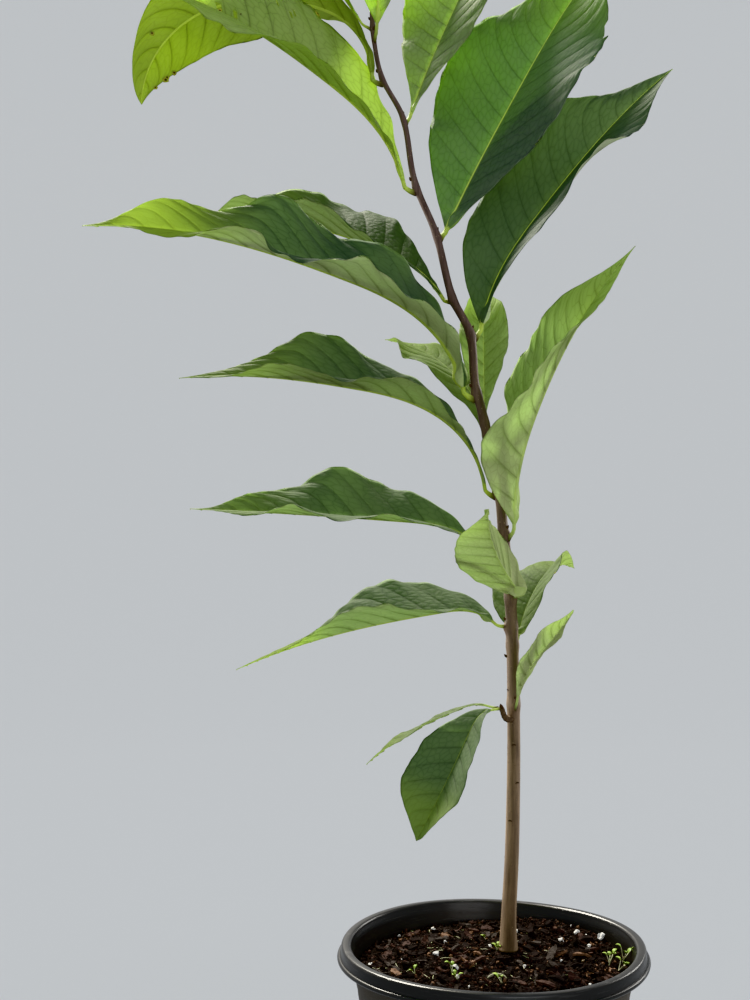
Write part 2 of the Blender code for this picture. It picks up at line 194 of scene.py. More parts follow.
# Fine form of a leaf
LEAF_LENGTH = 0.2
BLADE_THICKNESS = 0.00035
RIB_DEPTH = 0.0011
RIB_HALF_WIDTH = 0.0010
QUILT = 0.00058
SIDE_RIB = 0.00070
GROOVE = 0.00012
SIDE_GROOVE = 0.00008
RUFFLE = 0.0005
SCALLOP = 0.0022
RAGGED = 0.012
VEIN_HALF_WIDTH = 0.00042
VEIN_SHADE_HALF_WIDTH = 0.0021
# Half width of the painted shade beside each side vein
GROOVE_HALF_WIDTH = 0.0005
VEIN_LEAN = 0.62
VEIN_BEND = 0.45
STALK_ROWS = 9
ROW_OFFSETS = (
    0.0, 0.045, 0.12, 0.22, 0.34, 0.42, 0.455, 0.5, 0.545, 0.58, 0.66, 0.78, 0.88, 0.955
)
RIB_COLUMNS = (0.0, 0.42, 0.75, 1.0)
BLADE_COLUMNS = 14
NET_SPACING = 0.0034
LOWER_HALF_SHIFT = 80.5
UPPER_SLOT, UNDER_SLOT, RIB_SLOT = 0, 1, 2

# Greens: of tips, painted lighter as a glow of light through them, of darker stalk feet, of light
# that comes through, of ribs and of undersides
TIP_GLOW_GREEN = (0.24, 0.30, 0.075)
TIP_THROUGH = (0.80, 0.95, 0.22)
DARK_FOOT = (0.090, 0.060, 0.035)
DARK_FOOT_THROUGH = (0.10, 0.07, 0.03)
GROWN, PALE, YOUNG = (0.60, 0.80, 0.42), (0.64, 0.82, 0.42), (0.66, 0.86, 0.24)
VIVID, GLOWING, TENDER = (0.54, 0.88, 0.18), (0.66, 0.95, 0.06), (0.56, 0.74, 0.14)
PLAIN_RIB = ((0.44, 0.52, 0.17), (0.36, 0.44, 0.14))
PALE_RIB = ((0.46, 0.54, 0.24), (0.38, 0.46, 0.20))
PLAIN_UNDER = ((0.370, 0.410, 0.220), (0.300, 0.345, 0.175), PLAIN_RIB)
PALE_UNDER = ((0.500, 0.530, 0.290), (0.420, 0.460, 0.230), PALE_RIB)
# An underside painted lighter, as if lit, for a leaf in shade
PAINTED_LIT_UNDER = ((0.600, 0.650, 0.370), (0.520, 0.580, 0.310), PLAIN_RIB)
# An underside painted near white-green, as a margin lit by the sky
SKY_LIT_UNDER = ((0.740, 0.770, 0.560), (0.660, 0.700, 0.480), PLAIN_RIB)
TENDER_UNDER = ((0.300, 0.350, 0.130), (0.245, 0.295, 0.105), PLAIN_RIB)
# Kinds of green: two greens above, the light that comes through with its share, two greens
# underneath with those of the rib, and the share that comes through there
GREENS = {
    "grown": ((0.092, 0.116, 0.084), (0.124, 0.152, 0.102), GROWN, 0.31, PLAIN_UNDER, 0.36),
    # Painted light in part: a leaf lit from behind, with more vivid light through it, and bluish
    # grey upper greens that stand for a painted sky sheen.
    "lit": ((0.092, 0.102, 0.096), (0.120, 0.132, 0.116), VIVID, 0.28, PLAIN_UNDER, 0.36),
    "dark": ((0.076, 0.098, 0.076), (0.104, 0.130, 0.092), GROWN, 0.19, PLAIN_UNDER, 0.34),
    # Painted light: the underside is painted near white-green as the sky-lit curl at the margin,
    # and the upper greens are bluish as a painted sky sheen.
    "rimmed": ((0.048, 0.062, 0.058), (0.068, 0.086, 0.070), GROWN, 0.12, SKY_LIT_UNDER, 0.46),
    # Painted shade: a darker copy of the grown green, for a leaf that lies in shade.
    "mellow": ((0.044, 0.064, 0.036), (0.060, 0.084, 0.046), GROWN, 0.17, PLAIN_UNDER, 0.38),
    # Painted light: the underside is painted much lighter, as if lit, on a leaf that lies in shade,
    # and the upper greens are bluish as a painted sky sheen.
    "shaded": ((0.050, 0.067, 0.056), (0.070, 0.091, 0.068), GROWN, 0.20, PAINTED_LIT_UNDER, 0.34),
    "light": ((0.105, 0.130, 0.080), (0.140, 0.170, 0.100), PALE, 0.34, PALE_UNDER, 0.32),
    "pale": ((0.145, 0.180, 0.100), (0.190, 0.230, 0.125), PALE, 0.42, PALE_UNDER, 0.34),
    # Painted light: a much lighter copy of the pale green, for leaves lit through from behind.
    "fresh": ((0.200, 0.245, 0.135), (0.260, 0.305, 0.165), PALE, 0.52, PALE_UNDER, 0.40),
    "young": ((0.260, 0.290, 0.170), (0.340, 0.375, 0.215), YOUNG, 0.54, PLAIN_UNDER, 0.56),
    "soft": ((0.205, 0.196, 0.180), (0.262, 0.250, 0.216), GLOWING, 0.50, PLAIN_UNDER, 0.40),
    "tender": ((0.120, 0.155, 0.050), (0.160, 0.200, 0.066), TENDER, 0.27, TENDER_UNDER, 0.26),
}
# Bark: two colours low down and two above, patches and specks; then those of the pot
BARK_LOW = ((0.200, 0.140, 0.090), (0.330, 0.236, 0.150))
BARK_HIGH = ((0.130, 0.086, 0.074), (0.225, 0.158, 0.134))
BARK_PATCH = (0.060, 0.040, 0.026)
BARK_SPECK = (0.030, 0.020, 0.014)
POT_BLACK = (0.014, 0.0135, 0.013)
# The pot's dusty brown, which under the lip also paints a warm reflection
POT_DUST_AND_REFLECTION = (0.160, 0.134, 0.100)
POT_SCRATCH = (0.11, 0.105, 0.10)
# Plain coats: two colours, the mottling's scale, roughness, the grain's depth, and shine
COATS = {
    "bud_coat": ((0.040, 0.022, 0.013), (0.085, 0.045, 0.024), 900.0, 0.85, 0.0001, 0.25),
    "spur_coat": ((0.085, 0.058, 0.038), (0.150, 0.105, 0.070), 700.0, 0.80, 0.0002, 0.25),
    "halo_coat": ((0.34, 0.36, 0.06), (0.46, 0.44, 0.09), 700.0, 0.80, 0.00004, 0.25),
    "pore_coat": ((0.30, 0.23, 0.15), (0.40, 0.32, 0.22), 600.0, 0.80, 0.00004, 0.25),
    "scar_coat": ((0.035, 0.022, 0.015), (0.070, 0.045, 0.030), 700.0, 0.85, 0.0001, 0.25),
    "mix_coat": ((0.005, 0.0040, 0.0040), (0.014, 0.010, 0.0095), 260.0, 0.90, 0.0005, 0.05),
    "chip_dark": ((0.008, 0.0062, 0.0062), (0.018, 0.0130, 0.0125), 300.0, 0.85, 0.0004, 0.08),
    "chip_red": ((0.034, 0.021, 0.019), (0.062, 0.038, 0.032), 350.0, 0.80, 0.0004, 0.12),
    "chip_tan": ((0.120, 0.074, 0.052), (0.200, 0.125, 0.086), 350.0, 0.80, 0.0004, 0.12),
    "chip_grey": ((0.030, 0.025, 0.023), (0.056, 0.047, 0.043), 300.0, 0.85, 0.0004, 0.12),
    "perlite_coat": ((0.50, 0.49, 0.46), (0.68, 0.67, 0.64), 500.0, 0.90, 0.0003, 0.25),
    "seedling_green": ((0.17, 0.27, 0.05), (0.27, 0.36, 0.08), 500.0, 0.50, 0.00004, 0.25),
    "seedling_stem": ((0.42, 0.44, 0.26), (0.52, 0.50, 0.36), 500.0, 0.50, 0.00004, 0.25),
}
COAT_GRAIN = 1200.0
# Coats of bark chips, and how often chips and crumbs have each
CHIP_COATS = ("chip_dark", "chip_red", "chip_tan", "chip_grey")
CHIP_SHARES = (12, 3, 1, 4)
CRUMB_SHARES = (12, 3, 0.5, 3)

# Stage and light
STAGE_SIDES = 128
STAGE_FLOOR = 1.5
STAGE_BEND = 1.2
STAGE_WALL = 3.4
STAGE_DROP = 0.0002
STAGE_GREY, STAGE_GLOW = (0.36, 0.37, 0.385), (0.355, 0.360, 0.358)
LAMP_AIM = (-0.03, 0.02, 0.45)
# Soft lamps: name, place, size, power, colour, pieces left unlit and the only pieces lit
LAMPS = (
    ("key", (-0.60, 1.27, 1.78), 0.36, 112.0, (1.0, 0.95, 0.84), ["backdrop"], []),
    ("top", (0.2, -0.3, 2.6), 1.6, 8.0, (0.90, 0.95, 1.0), [], []),
    ("front", (0.6, -1.9, 1.0), 1.4, 15.0, (0.96, 0.98, 1.0), ["backdrop", "trunk_bark"], []),
    ("rim", (1.1, 0.9, 0.9), 0.5, 7.0, (1.0, 0.97, 0.92), ["backdrop"], []),
    ("left_edge", (-1.3, 0.45, 0.55), 0.4, 15.0, (1.0, 0.95, 0.86), [], ["trunk_bark"]),
    ("right_edge", (1.3, 0.55, 0.55), 0.4, 8.0, (1.0, 0.97, 0.92), [], ["trunk_bark"]),
)
SKY = (0.80, 0.88, 1.0, 1.0)
SKY_STRENGTH = 0.45


@dataclass
class Leaf:
    """One leaf by the same rule as the part's: angles in degrees, sizes in metres.

    azimuth runs from the viewer's right (0) through away (90). hook is added to it where the
    stalk leaves the wood, and sweep by the tip. rise, middle and fall are the blade's angles
    above level at its foot, its middle and its tip, and bend is the share of the blade at
    which it has come round to middle. fold lifts each half at the midrib and curl adds to
    that at the margin. roll turns the blade about its midrib, and twist adds to that by the
    tip. belly is the share of the blade at which it is widest, and point how drawn out its
    tip is. wave is how high the margins wave halfway along, less near the foot and more near
    the tip, waves how often, and crest a share of the length at which the half on the blade's
    left stands highest. tone names its green, bright is how much lighter its tip is painted, as
    a painted glow of light through it, and scallop how strongly the margins bulge between the
    side veins.
    """

    name: str
    height: float
    azimuth: float
    rise: float
    middle: float
    fall: float
    bend: float
    length: float
    width: float
    hook: float = 0.0
    sweep: float = 0.0
    fold: float = 35.0
    curl: float = -10.0
    roll: float = 0.0
    twist: float = 0.0
    belly: float = 0.54
    point: float = 1.3
    wave: float = 0.004
    waves: float = 2.4
    crest: float = 0.35
    carrier: str = "trunk"
    tone: str = "grown"
    bright: float = 0.3
    scallop: float = 1.0


LEAVES = (
    Leaf("leaf_01", 0.288, 175, 12, -24, -43, 0.2, 0.083, 0.018, hook=-20, fold=8, curl=0,
         wave=0.001, carrier="spur", tone="light", scallop=0.1),
    Leaf("leaf_02", 0.288, 204, 0, -62, -57, 0.2, 0.090, 0.052, hook=28, fold=26, curl=0, roll=14,
         belly=0.56, point=1.0, wave=0.0015, carrier="spur", bright=0.4, scallop=0.4),
    Leaf("leaf_03", 0.291, -23, 77, 50, 57, 0.6, 0.066, 0.030, hook=-60, fold=16, roll=10,
         point=1.0, wave=0.001, tone="pale", scallop=0.2),
    Leaf("leaf_04", 0.3236, 62, 66, 44, -28, 0.45, 0.079, 0.050, sweep=-25, fold=32, roll=14,
         belly=0.42, wave=0.002, tone="light"),
    Leaf("leaf_05", 0.334, 187, 42, -9, -24, 0.2, 0.155, 0.062, fold=32, roll=20, twist=-30,
         belly=0.38, point=1.9, wave=0.005, waves=1.6, crest=0.42, bright=0.8),
    Leaf("leaf_06", 0.350, -140, 42, 40, 42, 0.5, 0.078, 0.050, hook=75, sweep=48, fold=66,
         roll=-58, belly=0.36, point=1.1, wave=0.001, tone="pale"),
    Leaf("leaf_07", 0.371, 177, 50, 4, 2, 0.3, 0.180, 0.064, fold=35, roll=24, belly=0.5,
         point=2.0, wave=0.004, waves=3.2, crest=0.55, bright=0.25),
    Leaf("leaf_08", 0.385, -75, 88, 62, 48, 0.4, 0.174, 0.063, hook=30, sweep=65, fold=45,
         roll=-14, twist=-62, belly=0.4, point=1.8, wave=0.004, waves=2.4, crest=0.25,
         tone="fresh"),
    Leaf("leaf_09", 0.438, 108, 74, 32, 8, 0.45, 0.118, 0.046, sweep=35, fold=8, wave=0.003,
         tone="pale"),
    Leaf("leaf_10", 0.409, 186, 81, 9, -7, 0.5, 0.200, 0.068, hook=-6, fold=38, roll=5, twist=27,
         belly=0.53, point=2.2, wave=0.005, waves=2.4, crest=0.64, tone="dark", bright=0.4),
    Leaf("leaf_11", 0.447, 86, 62, 55, 45, 0.5, 0.108, 0.032, fold=35, wave=0.003, tone="fresh"),
    Leaf("leaf_12", 0.463, 199, 76, 17, -6, 0.4, 0.242, 0.078, fold=34, roll=22, twist=16,
         belly=0.44, point=1.25, wave=0.006, waves=3.7, crest=0.58, tone="shaded", bright=0.9),
    Leaf("leaf_13", 0.4955, 26, 77, 50, 38, 0.35, 0.218, 0.080, fold=36, curl=0, roll=-8,
         twist=-36, belly=0.44, point=1.4, wave=0.008, waves=2.1, crest=0.50, tone="rimmed",
         bright=0.1, scallop=0.5),
    Leaf("leaf_14", 0.5155, 130, 50, 21, 1, 0.4, 0.188, 0.070, sweep=36, fold=38, roll=10,
         belly=0.6, wave=0.004, waves=2.4, crest=0.78, tone="mellow"),
    Leaf("leaf_15", 0.550, 44, 58, 54, 45, 0.5, 0.240, 0.096, fold=20, curl=-4, roll=-20,
         belly=0.5, point=1.1, wave=0.005, crest=0.45, tone="lit", scallop=0.35),
    Leaf("leaf_16", 0.577, 187, 76, 36, 0, 0.34, 0.218, 0.080, fold=36, roll=18, twist=48,
         wave=0.005, crest=0.28, tone="young"),
    Leaf("leaf_17", 0.614, 57, 60, 54, 42, 0.5, 0.180, 0.066, fold=18, belly=0.56, crest=0.5,
         tone="soft", scallop=0.4),
    Leaf("leaf_18", 0.637, 158, 87, 11.5, -91, 0.4, 0.208, 0.060, fold=28, twist=-74, point=1.0,
         tone="tender", scallop=0.4),
    Leaf("leaf_19", 0.660, -72, 80, 74, 50, 0.5, 0.150, 0.052, belly=0.47, tone="soft",
         scallop=0.4),
    Leaf("leaf_20", 0.666, 168, 58, 50, 15, 0.5, 0.125, 0.046, wave=0.003, tone="soft"),
    Leaf("leaf_21", 0.6715, 75, 62, 58, 45, 0.5, 0.095, 0.032, wave=0.003, tone="soft"),
)

# Small holes and torn margins: leaf, pixel of the photograph and radius in pixels
TEARS = (
    ("leaf_16", 219, 6, 2.6), ("leaf_16", 237, 13, 3.0), ("leaf_16", 278, 2, 2.2),
    ("leaf_16", 293, 15, 2.2), ("leaf_16", 316, 15, 1.5),
    ("leaf_15", 611, 19, 4.5), ("leaf_15", 609, 27, 4.2), ("leaf_15", 607, 34, 3.0),
    ("leaf_02", 486, 726, 2.6), ("leaf_02", 484, 737, 3.0), ("leaf_02", 482, 746, 2.0),
)
# Dry spots: how much wider their yellow ring is; leaf, pixel of the photograph and radius (m)
SPOT_HALO = 1.7
SPOTS = (
    ("leaf_18", 152, 34, 0.0009), ("leaf_18", 156, 86, 0.0008), ("leaf_18", 167, 79, 0.0011),
    ("leaf_18", 169, 77, 0.0008), ("leaf_18", 176, 73, 0.0009), ("leaf_16", 325, 11, 0.0011),
    ("leaf_16", 219, 9, 0.0007), ("leaf_16", 240, 15, 0.0006), ("leaf_04", 557, 573, 0.0005),
)


def smoothstep(value):
    """Ease from 0 to 1 as the value goes from 0 to 1, for numbers and arrays."""
    value = np.clip(value, 0.0, 1.0)
    return value * value * (3.0 - 2.0 * value)


def bell(value):
    """A bell curve of height 1 at 0."""
    return np.exp(-value * value)


def azimuth_vector(degrees):
    """The level direction of an azimuth."""
    angle = math.radians(degrees)
    return Vector((math.cos(angle), math.sin(angle), 0.0))


# The wood's course and thickness

def trunk_centre(height):
    """The trunk's centre at a height, on a smooth curve through its course."""
    course = TRUNK_COURSE
    last = len(course) - 1
    index = 0
    while index < last - 1 and height > course[index + 1][0]:
        index += 1
    low, high = course[index], course[index + 1]
    before = course[max(0, index - 1)]
    after = course[min(last, index + 2)]
    span = high[0] - low[0]
    share = (height - low[0]) / span
    centre = []
    for axis in (1, 2):
        slope_low = (high[axis] - before[axis]) / (high[0] - before[0]) * span
        slope_high = (after[axis] - low[axis]) / (after[0] - low[0]) * span
        if index == 0:
            slope_low = 0.0
        a = 2.0 * low[axis] - 2.0 * high[axis] + slope_low + slope_high
        b = 3.0 * high[axis] - 3.0 * low[axis] - 2.0 * slope_low - slope_high
        centre.append(((a * share + b) * share + slope_low) * share + low[axis])
    return Vector((centre[0], centre[1], height))


def trunk_tangent(height):
    """The direction in which the trunk grows at a height."""
    step = 0.001
    low = max(TRUNK_FOOT, height - step)
    high = min(TRUNK_TIP, height + step)
    return (trunk_centre(high) - trunk_centre(low)).normalized()


def trunk_radius(height):
    """Half the trunk's diameter: its taper, the flare at its foot and its swollen nodes."""
    share = max(0.0, height - TRUNK_FOOT) / (TRUNK_TIP - TRUNK_FOOT)
    radius = TRUNK_RADIUS_LOW + (TRUNK_RADIUS_HIGH - TRUNK_RADIUS_LOW) * share ** (1 / TRUNK_TAPER)
    radius += FLARE_RADIUS * math.exp(-(height - TRUNK_FOOT) / FLARE_REACH)
    for leaf in LEAVES:
        if leaf.carrier == "trunk":
            radius *= 1.0 + NODE_SWELL * float(bell((height - leaf.height) / NODE_REACH / 1.414))
    return radius


def spur_points():
    """The spur's centre line, from just outside the trunk to its tip."""
    outward = azimuth_vector(SPUR_AZIMUTH)
    start = trunk_centre(SPUR_HEIGHT) + outward * (trunk_radius(SPUR_HEIGHT) + GAP)
    steps = 5
    points = [start]
    for step in range(1, steps + 1):
        angle = math.radians(SPUR_RISE) * float(smoothstep(1.4 * (step - 0.5) / steps))
        move = outward * math.cos(angle) + Vector((0.0, 0.0, math.sin(angle)))
        points.append(points[-1] + move * SPUR_LENGTH / steps)
    return points


# A leaf's midrib, outline and surface

def leaf_stalk_share(leaf):
    """The share of a leaf's length that is its stalk."""
    return min(STALK_LENGTH / leaf.length, STALK_SHARE)


def leaf_start(leaf):
    """Where a leaf's stalk starts, clear of the wood, and the direction in which it leaves."""
    outward = azimuth_vector(leaf.azimuth + leaf.hook)
    if leaf.carrier == "spur":
        return spur_points()[-1] + outward * (SPUR_RADIUS + GAP), outward
    tangent = trunk_tangent(leaf.height)
    outward = (outward - tangent * outward.dot(tangent)).normalized()
    return trunk_centre(leaf.height) + outward * (trunk_radius(leaf.height) + GAP), outward


def blade_rise(leaf, blade):
    """The blade's angle above level, in degrees, at a share of the blade's length."""
    foot = max(0.0, 1.0 - blade / leaf.bend)
    tip = max(0.0, (blade - leaf.bend) / (1.0 - leaf.bend))
    rise = leaf.middle + (leaf.rise - leaf.middle) * foot ** FOOT_POWER
    return rise + (leaf.fall - leaf.middle) * tip ** TIP_POWER


def leaf_spine(leaf):
    """Arrays of points along the midrib and of the directions across and up there."""
    point, outward = leaf_start(leaf)
    stalk = leaf_stalk_share(leaf)
    first = math.degrees(math.asin(outward.z))
    stations = []
    for step in range(SPINE_STEPS + 1):
        share = step / SPINE_STEPS
        if share < stalk:
            ease = float(smoothstep(share / (STALK_TURN * stalk)))
            rise = first + (leaf.rise - first) * ease
        else:
            rise = blade_rise(leaf, (share - stalk) / (1.0 - stalk))
        hook = leaf.hook * (1.0 - float(smoothstep(0.6 * share / stalk)))
        heading = azimuth_vector(leaf.azimuth + hook + leaf.sweep * share)
        rise = math.radians(rise)
        roll = math.radians(leaf.roll + leaf.twist * share) * float(smoothstep(share / stalk))
        along = heading * math.cos(rise) + Vector((0.0, 0.0, math.sin(rise)))
        up = Vector((0.0, 0.0, math.cos(rise))) - heading * math.sin(rise)
        side = along.cross(up)
        across = side * math.cos(roll) + up * math.sin(roll)
        up = up * math.cos(roll) - side * math.sin(roll)
        stations.append((point.copy(), across, up))
        point += along * (leaf.length / SPINE_STEPS)
    return [np.array([station[item] for station in stations]) for item in range(3)]


def hugging_stalk(leaf, spine):
    """Redraw a steep leaf's stalk so that it comes off the wood lower down and hugs it."""
    steep = float(smoothstep((leaf.rise - 30.0) / 40.0))
    if leaf.carrier != "trunk" or steep == 0.0:
        return spine
    point, side, up = spine
    last = max(2, round(leaf_stalk_share(leaf) * STALK_TURN * SPINE_STEPS))
    start, outward = leaf_start(leaf)
    tangent = trunk_tangent(leaf.height)
    start = np.array(start - tangent * STALK_DROP * steep - outward * STALK_SINK)
    leave = np.array((outward * 0.55 + tangent).normalized())
    reach = np.linalg.norm(point[last] - start) / 3.0
    arrive = np.cross(up[last], side[last])
    corners = (start, start + leave * reach, point[last] - arrive * reach, point[last].copy())
    for step in range(last):
        t = step / last
        u = 1.0 - t
        weights = (u ** 3, 3.0 * u * u * t, 3.0 * u * t * t, t ** 3)
        slopes = (-u * u, u * u - 2.0 * u * t, 2.0 * u * t - t * t, t * t)
        point[step] = sum(weight * corner for weight, corner in zip(weights, corners))
        along = sum(slope * corner for slope, corner in zip(slopes, corners))
        along /= np.linalg.norm(along)
        side[step] -= along * side[step].dot(along)
        side[step] /= np.linalg.norm(side[step])
        up[step] = np.cross(side[step], along)
    return spine


def leaf_half_width(leaf, share):
    """Half the leaf's width at shares of its length."""
    stalk = leaf_stalk_share(leaf)
    stem = max(STALK_LEAST, STALK_HALF_WIDTH * leaf.length)
    blade = np.clip((share - stalk) / (1.0 - stalk), 0.0, 1.0)
    foot_shape = leaf.point * leaf.belly / (1.0 - leaf.belly)
    most = leaf.belly ** foot_shape * (1.0 - leaf.belly) ** leaf.point
    shape = blade ** foot_shape * (1.0 - blade) ** leaf.point / most
    edge = stem + (TIP_HALF_WIDTH - stem) * blade
    return edge + (0.5 * leaf.width - edge) * shape


def leaf_points(leaf, spine, share, across):
    """Points of the leaf's middle surface: across runs from -1 to 1, margin to margin."""
    place = np.clip(share, 0.0, 1.0) * SPINE_STEPS
    index = np.minimum(SPINE_STEPS - 1, place.astype(int))
    part = (place - index)[..., None]
    point, side, up = (line[index] * (1.0 - part) + line[index + 1] * part for line in spine)
    half = leaf_half_width(leaf, share)
    ease = half / (half + FOLD_EASE) * smoothstep((1.0 - share) / TIP_EASE)
    reach = np.abs(across)
    inner = math.radians(leaf.fold) * ease
    turn = math.radians(leaf.curl) * ease
    flat = np.abs(turn) < 1e-4
    bent = np.where(flat, 1.0, turn)
    level = half / bent * (np.sin(inner + turn * reach) - np.sin(inner))
    lift = half / bent * (np.cos(inner) - np.cos(inner + turn * reach))
    level = np.where(flat, half * reach * np.cos(inner), level)
    lift = np.where(flat, half * reach * np.sin(inner), lift)
    crest = leaf.crest + np.where(across > 0.0, 0.0, CREST_SHIFT)
    swell = 2.0 * half / leaf.width
    turn = math.tau * leaf.waves * (share - crest)
    lift = lift + 2.0 * leaf.wave * share * swell * reach ** 1.8 * np.cos(turn)
    ripple = math.tau * share + np.where(across > 0.0, 0.0, 2.1) + 9.0 * leaf.height
    ruffle = np.sin(7.3 * ripple) + 0.6 * np.sin(12.7 * ripple + 1.3) + 0.35 * np.sin(19.1 * ripple)
    lift = lift + RUFFLE * leaf.length / LEAF_LENGTH * swell * reach ** 3 * ruffle
    return point + side * (np.sign(across) * level)[..., None] + up * lift[..., None]


def vein_count(leaf):
    """How many side veins each half of a leaf has."""
    return round(6 + 38 * leaf.length)


def leaf_grid(leaf):
    """The leaf's rows and columns: share of the length, place across and vein number of each.

    Rows run from the midrib out along the side veins, closest where a vein is.
    """
    stalk = leaf_stalk_share(leaf)
    veins = vein_count(leaf)
    stalk_rows = np.linspace(0.0, stalk, STALK_ROWS, endpoint=False)
    numbers = np.array([vein + offset for vein in range(veins) for offset in ROW_OFFSETS] + [veins])
    shares = np.concatenate([stalk_rows, stalk + (1.0 - stalk) * numbers / veins])
    numbers = np.concatenate([np.full(STALK_ROWS, -1.0), numbers])
    half = leaf_half_width(leaf, shares)
    rib = RIB_HALF_WIDTH * leaf.length / LEAF_LENGTH * (1.15 - 0.85 * shares)
    rib = np.minimum(rib, 0.72 * half)
    inner = rib[:, None] * np.array(RIB_COLUMNS)[None, :]
    spread = (np.arange(1, BLADE_COLUMNS + 1) / BLADE_COLUMNS) ** 0.9
    outer = rib[:, None] + (half - rib)[:, None] * spread[None, :]
    reach = np.concatenate([inner, outer], axis=1) / half[:, None]
    across = np.concatenate([-reach[:, :0:-1], reach], axis=1)
    slope = np.abs(np.gradient(half, shares)[STALK_ROWS + 2:]).max() / leaf.length
    lean = min(1.0, 0.85 / (slope * (VEIN_LEAN + VEIN_BEND)))
    steps = np.abs(across)
    shift = (half / leaf.length * lean)[:, None] * (VEIN_LEAN * steps + VEIN_BEND * steps ** 2)
    share = np.clip(shares[:, None] + shift, 0.0, 1.0)
    return share, across, np.repeat(numbers[:, None], across.shape[1], axis=1), rib


def surface_normals(points):
    """Unit normals of a grid of points, up from the leaf."""
    down = np.gradient(points, axis=0)
    over = np.gradient(points, axis=1)
    normal = np.cross(over, down)
    length = np.linalg.norm(normal, axis=2, keepdims=True)
    return normal / np.maximum(length, 1e-12)


def leaf_relief(leaf, share, across, number, rib):
    """Heights of both skins along the normal, how much each point is vein, and how near it is to a
    vein for the painted shade beside it.
    """
    chance = np.random.default_rng(int(leaf.name[-2:]))
    half = leaf_half_width(leaf, share)
    reach = np.abs(across)
    distance = reach * half
    stalk = leaf_stalk_share(leaf)
    veins = vein_count(leaf)
    spacing = (1.0 - stalk) * leaf.length / veins
    blade = smoothstep((share - stalk) / 0.06)
    number = number + np.where(across > 0.0, 0.0, 0.5)
    off = np.abs(number - np.round(number)) * spacing
    cell = np.clip(np.floor(number).astype(int) + 2, 0, veins + 3)
    strength = chance.uniform(0.55, 1.25, (2, veins + 4))[(across > 0.0).astype(int), cell]
    dome = np.abs(np.sin(math.pi * number)) ** 0.6
    span = smoothstep(reach / 0.25) * smoothstep((1.06 - reach) / 0.5)
    size = min(1.0, spacing / 0.012)
    quilt = QUILT * size * strength * (dome - 0.5) * span * blade * smoothstep((1.0 - share) / 0.3)
    fade = (1.0 - 0.75 * reach) * blade
    side_vein = bell(off / VEIN_HALF_WIDTH) * fade
    rib = rib[:, None]
    round_part = np.sqrt(np.clip(1.0 - (distance / (rib * 1.05)) ** 2, 0.0, 1.0))
    depth = np.minimum(RIB_DEPTH * leaf.length / LEAF_LENGTH, 1.5 * half) * (1.1 - 0.85 * share)
    edge = np.sqrt(np.clip(1.0 - reach ** 6, 0.0, 1.0))
    cushion = 1.0 + 0.5 * smoothstep(1.0 - share / stalk * 1.6)
    stem = (1.0 - blade) * half * np.sqrt(np.clip(1.0 - reach ** 2, 0.0, 1.0)) * cushion
    skin = 0.5 * BLADE_THICKNESS * edge * blade
    groove = GROOVE * bell(distance / GROOVE_HALF_WIDTH) * blade
    upper = skin + quilt - groove - SIDE_GROOVE * side_vein + 0.75 * stem
    ribs = np.maximum(depth * round_part * blade, SIDE_RIB * side_vein * edge)
    lower = -skin + quilt - ribs - stem
    return upper, lower, side_vein, bell(off / VEIN_SHADE_HALF_WIDTH) * fade


def grid_faces(numbers):
    """Quads over a grid of vertex numbers."""
    corners = [numbers[:-1, :-1], numbers[1:, :-1], numbers[1:, 1:], numbers[:-1, 1:]]
    return np.stack(corners, axis=-1).reshape(-1, 4)


def mesh_object(name, vertices, faces, materials, slots=None, smooth=True):
    """A new mesh object with its materials, and optionally a material number for each face."""
    mesh = bpy.data.meshes.new(name)
    mesh.from_pydata([tuple(v) for v in vertices], [], [tuple(f) for f in faces])
    for coat in materials:
        mesh.materials.append(coat)
    if slots is not None:
        mesh.polygons.foreach_set("material_index", np.asarray(slots, dtype=np.int32))
    if smooth:
        mesh.polygons.foreach_set("use_smooth", np.ones(len(mesh.polygons), dtype=bool))
    made = bpy.data.objects.new(name, mesh)
    bpy.context.scene.collection.objects.link(made)
    return made


def dress(piece, node=None):
    """Fix a piece to the part and the solid that it stands in for."""
    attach(piece, "root")
    if node:
        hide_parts(node)


def circle(radius, sides):
    """Places round a circle."""
    turns = [math.tau * side / sides for side in range(sides)]
    return [(radius * math.cos(turn), radius * math.sin(turn)) for turn in turns]


def ring_quads(rings, sides, first=0):
    """Quads that join rings of points, numbered from the first ring's first point."""
    quads = []
    for ring in range(rings):
        for side in range(sides):
            a = first + ring * sides + side
            b = first + ring * sides + (side + 1) % sides
            quads.append((a, a + sides, b + sides, b))
    return quads


def disc_faces(rings, sides):
    """A fan round point 0 and quads between the rings outside it."""
    fan = [(0, 1 + side, 1 + (side + 1) % sides) for side in range(sides)]
    return fan + ring_quads(rings, sides, 1)


def point_attribute(mesh, name, values):
    """Store one number for each vertex."""
    held = mesh.attributes.new(name, "FLOAT", "POINT")
    held.data.foreach_set("value", np.asarray(values, dtype=np.float32))


def corner_map(mesh, name, places):
    """Store a flat map: one place for each vertex, dealt to its corners."""
    corners = np.empty(len(mesh.loops), dtype=np.int32)
    mesh.loops.foreach_get("vertex_index", corners)
    layer = mesh.uv_layers.new(name=name)
    layer.data.foreach_set("uv", np.asarray(places, dtype=np.float32)[corners].ravel())


def photo_place(points):
    """The pixels of the photograph at which points lie, and how far from its camera."""
    away = points - np.array(CAMERA_PLACE)
    depth = away[..., 1]
    px = 0.5 * PHOTO_WIDE + FOCAL_PIXELS * away[..., 0] / depth
    return px, 0.5 * PHOTO_HIGH - FOCAL_PIXELS * away[..., 2] / depth, depth


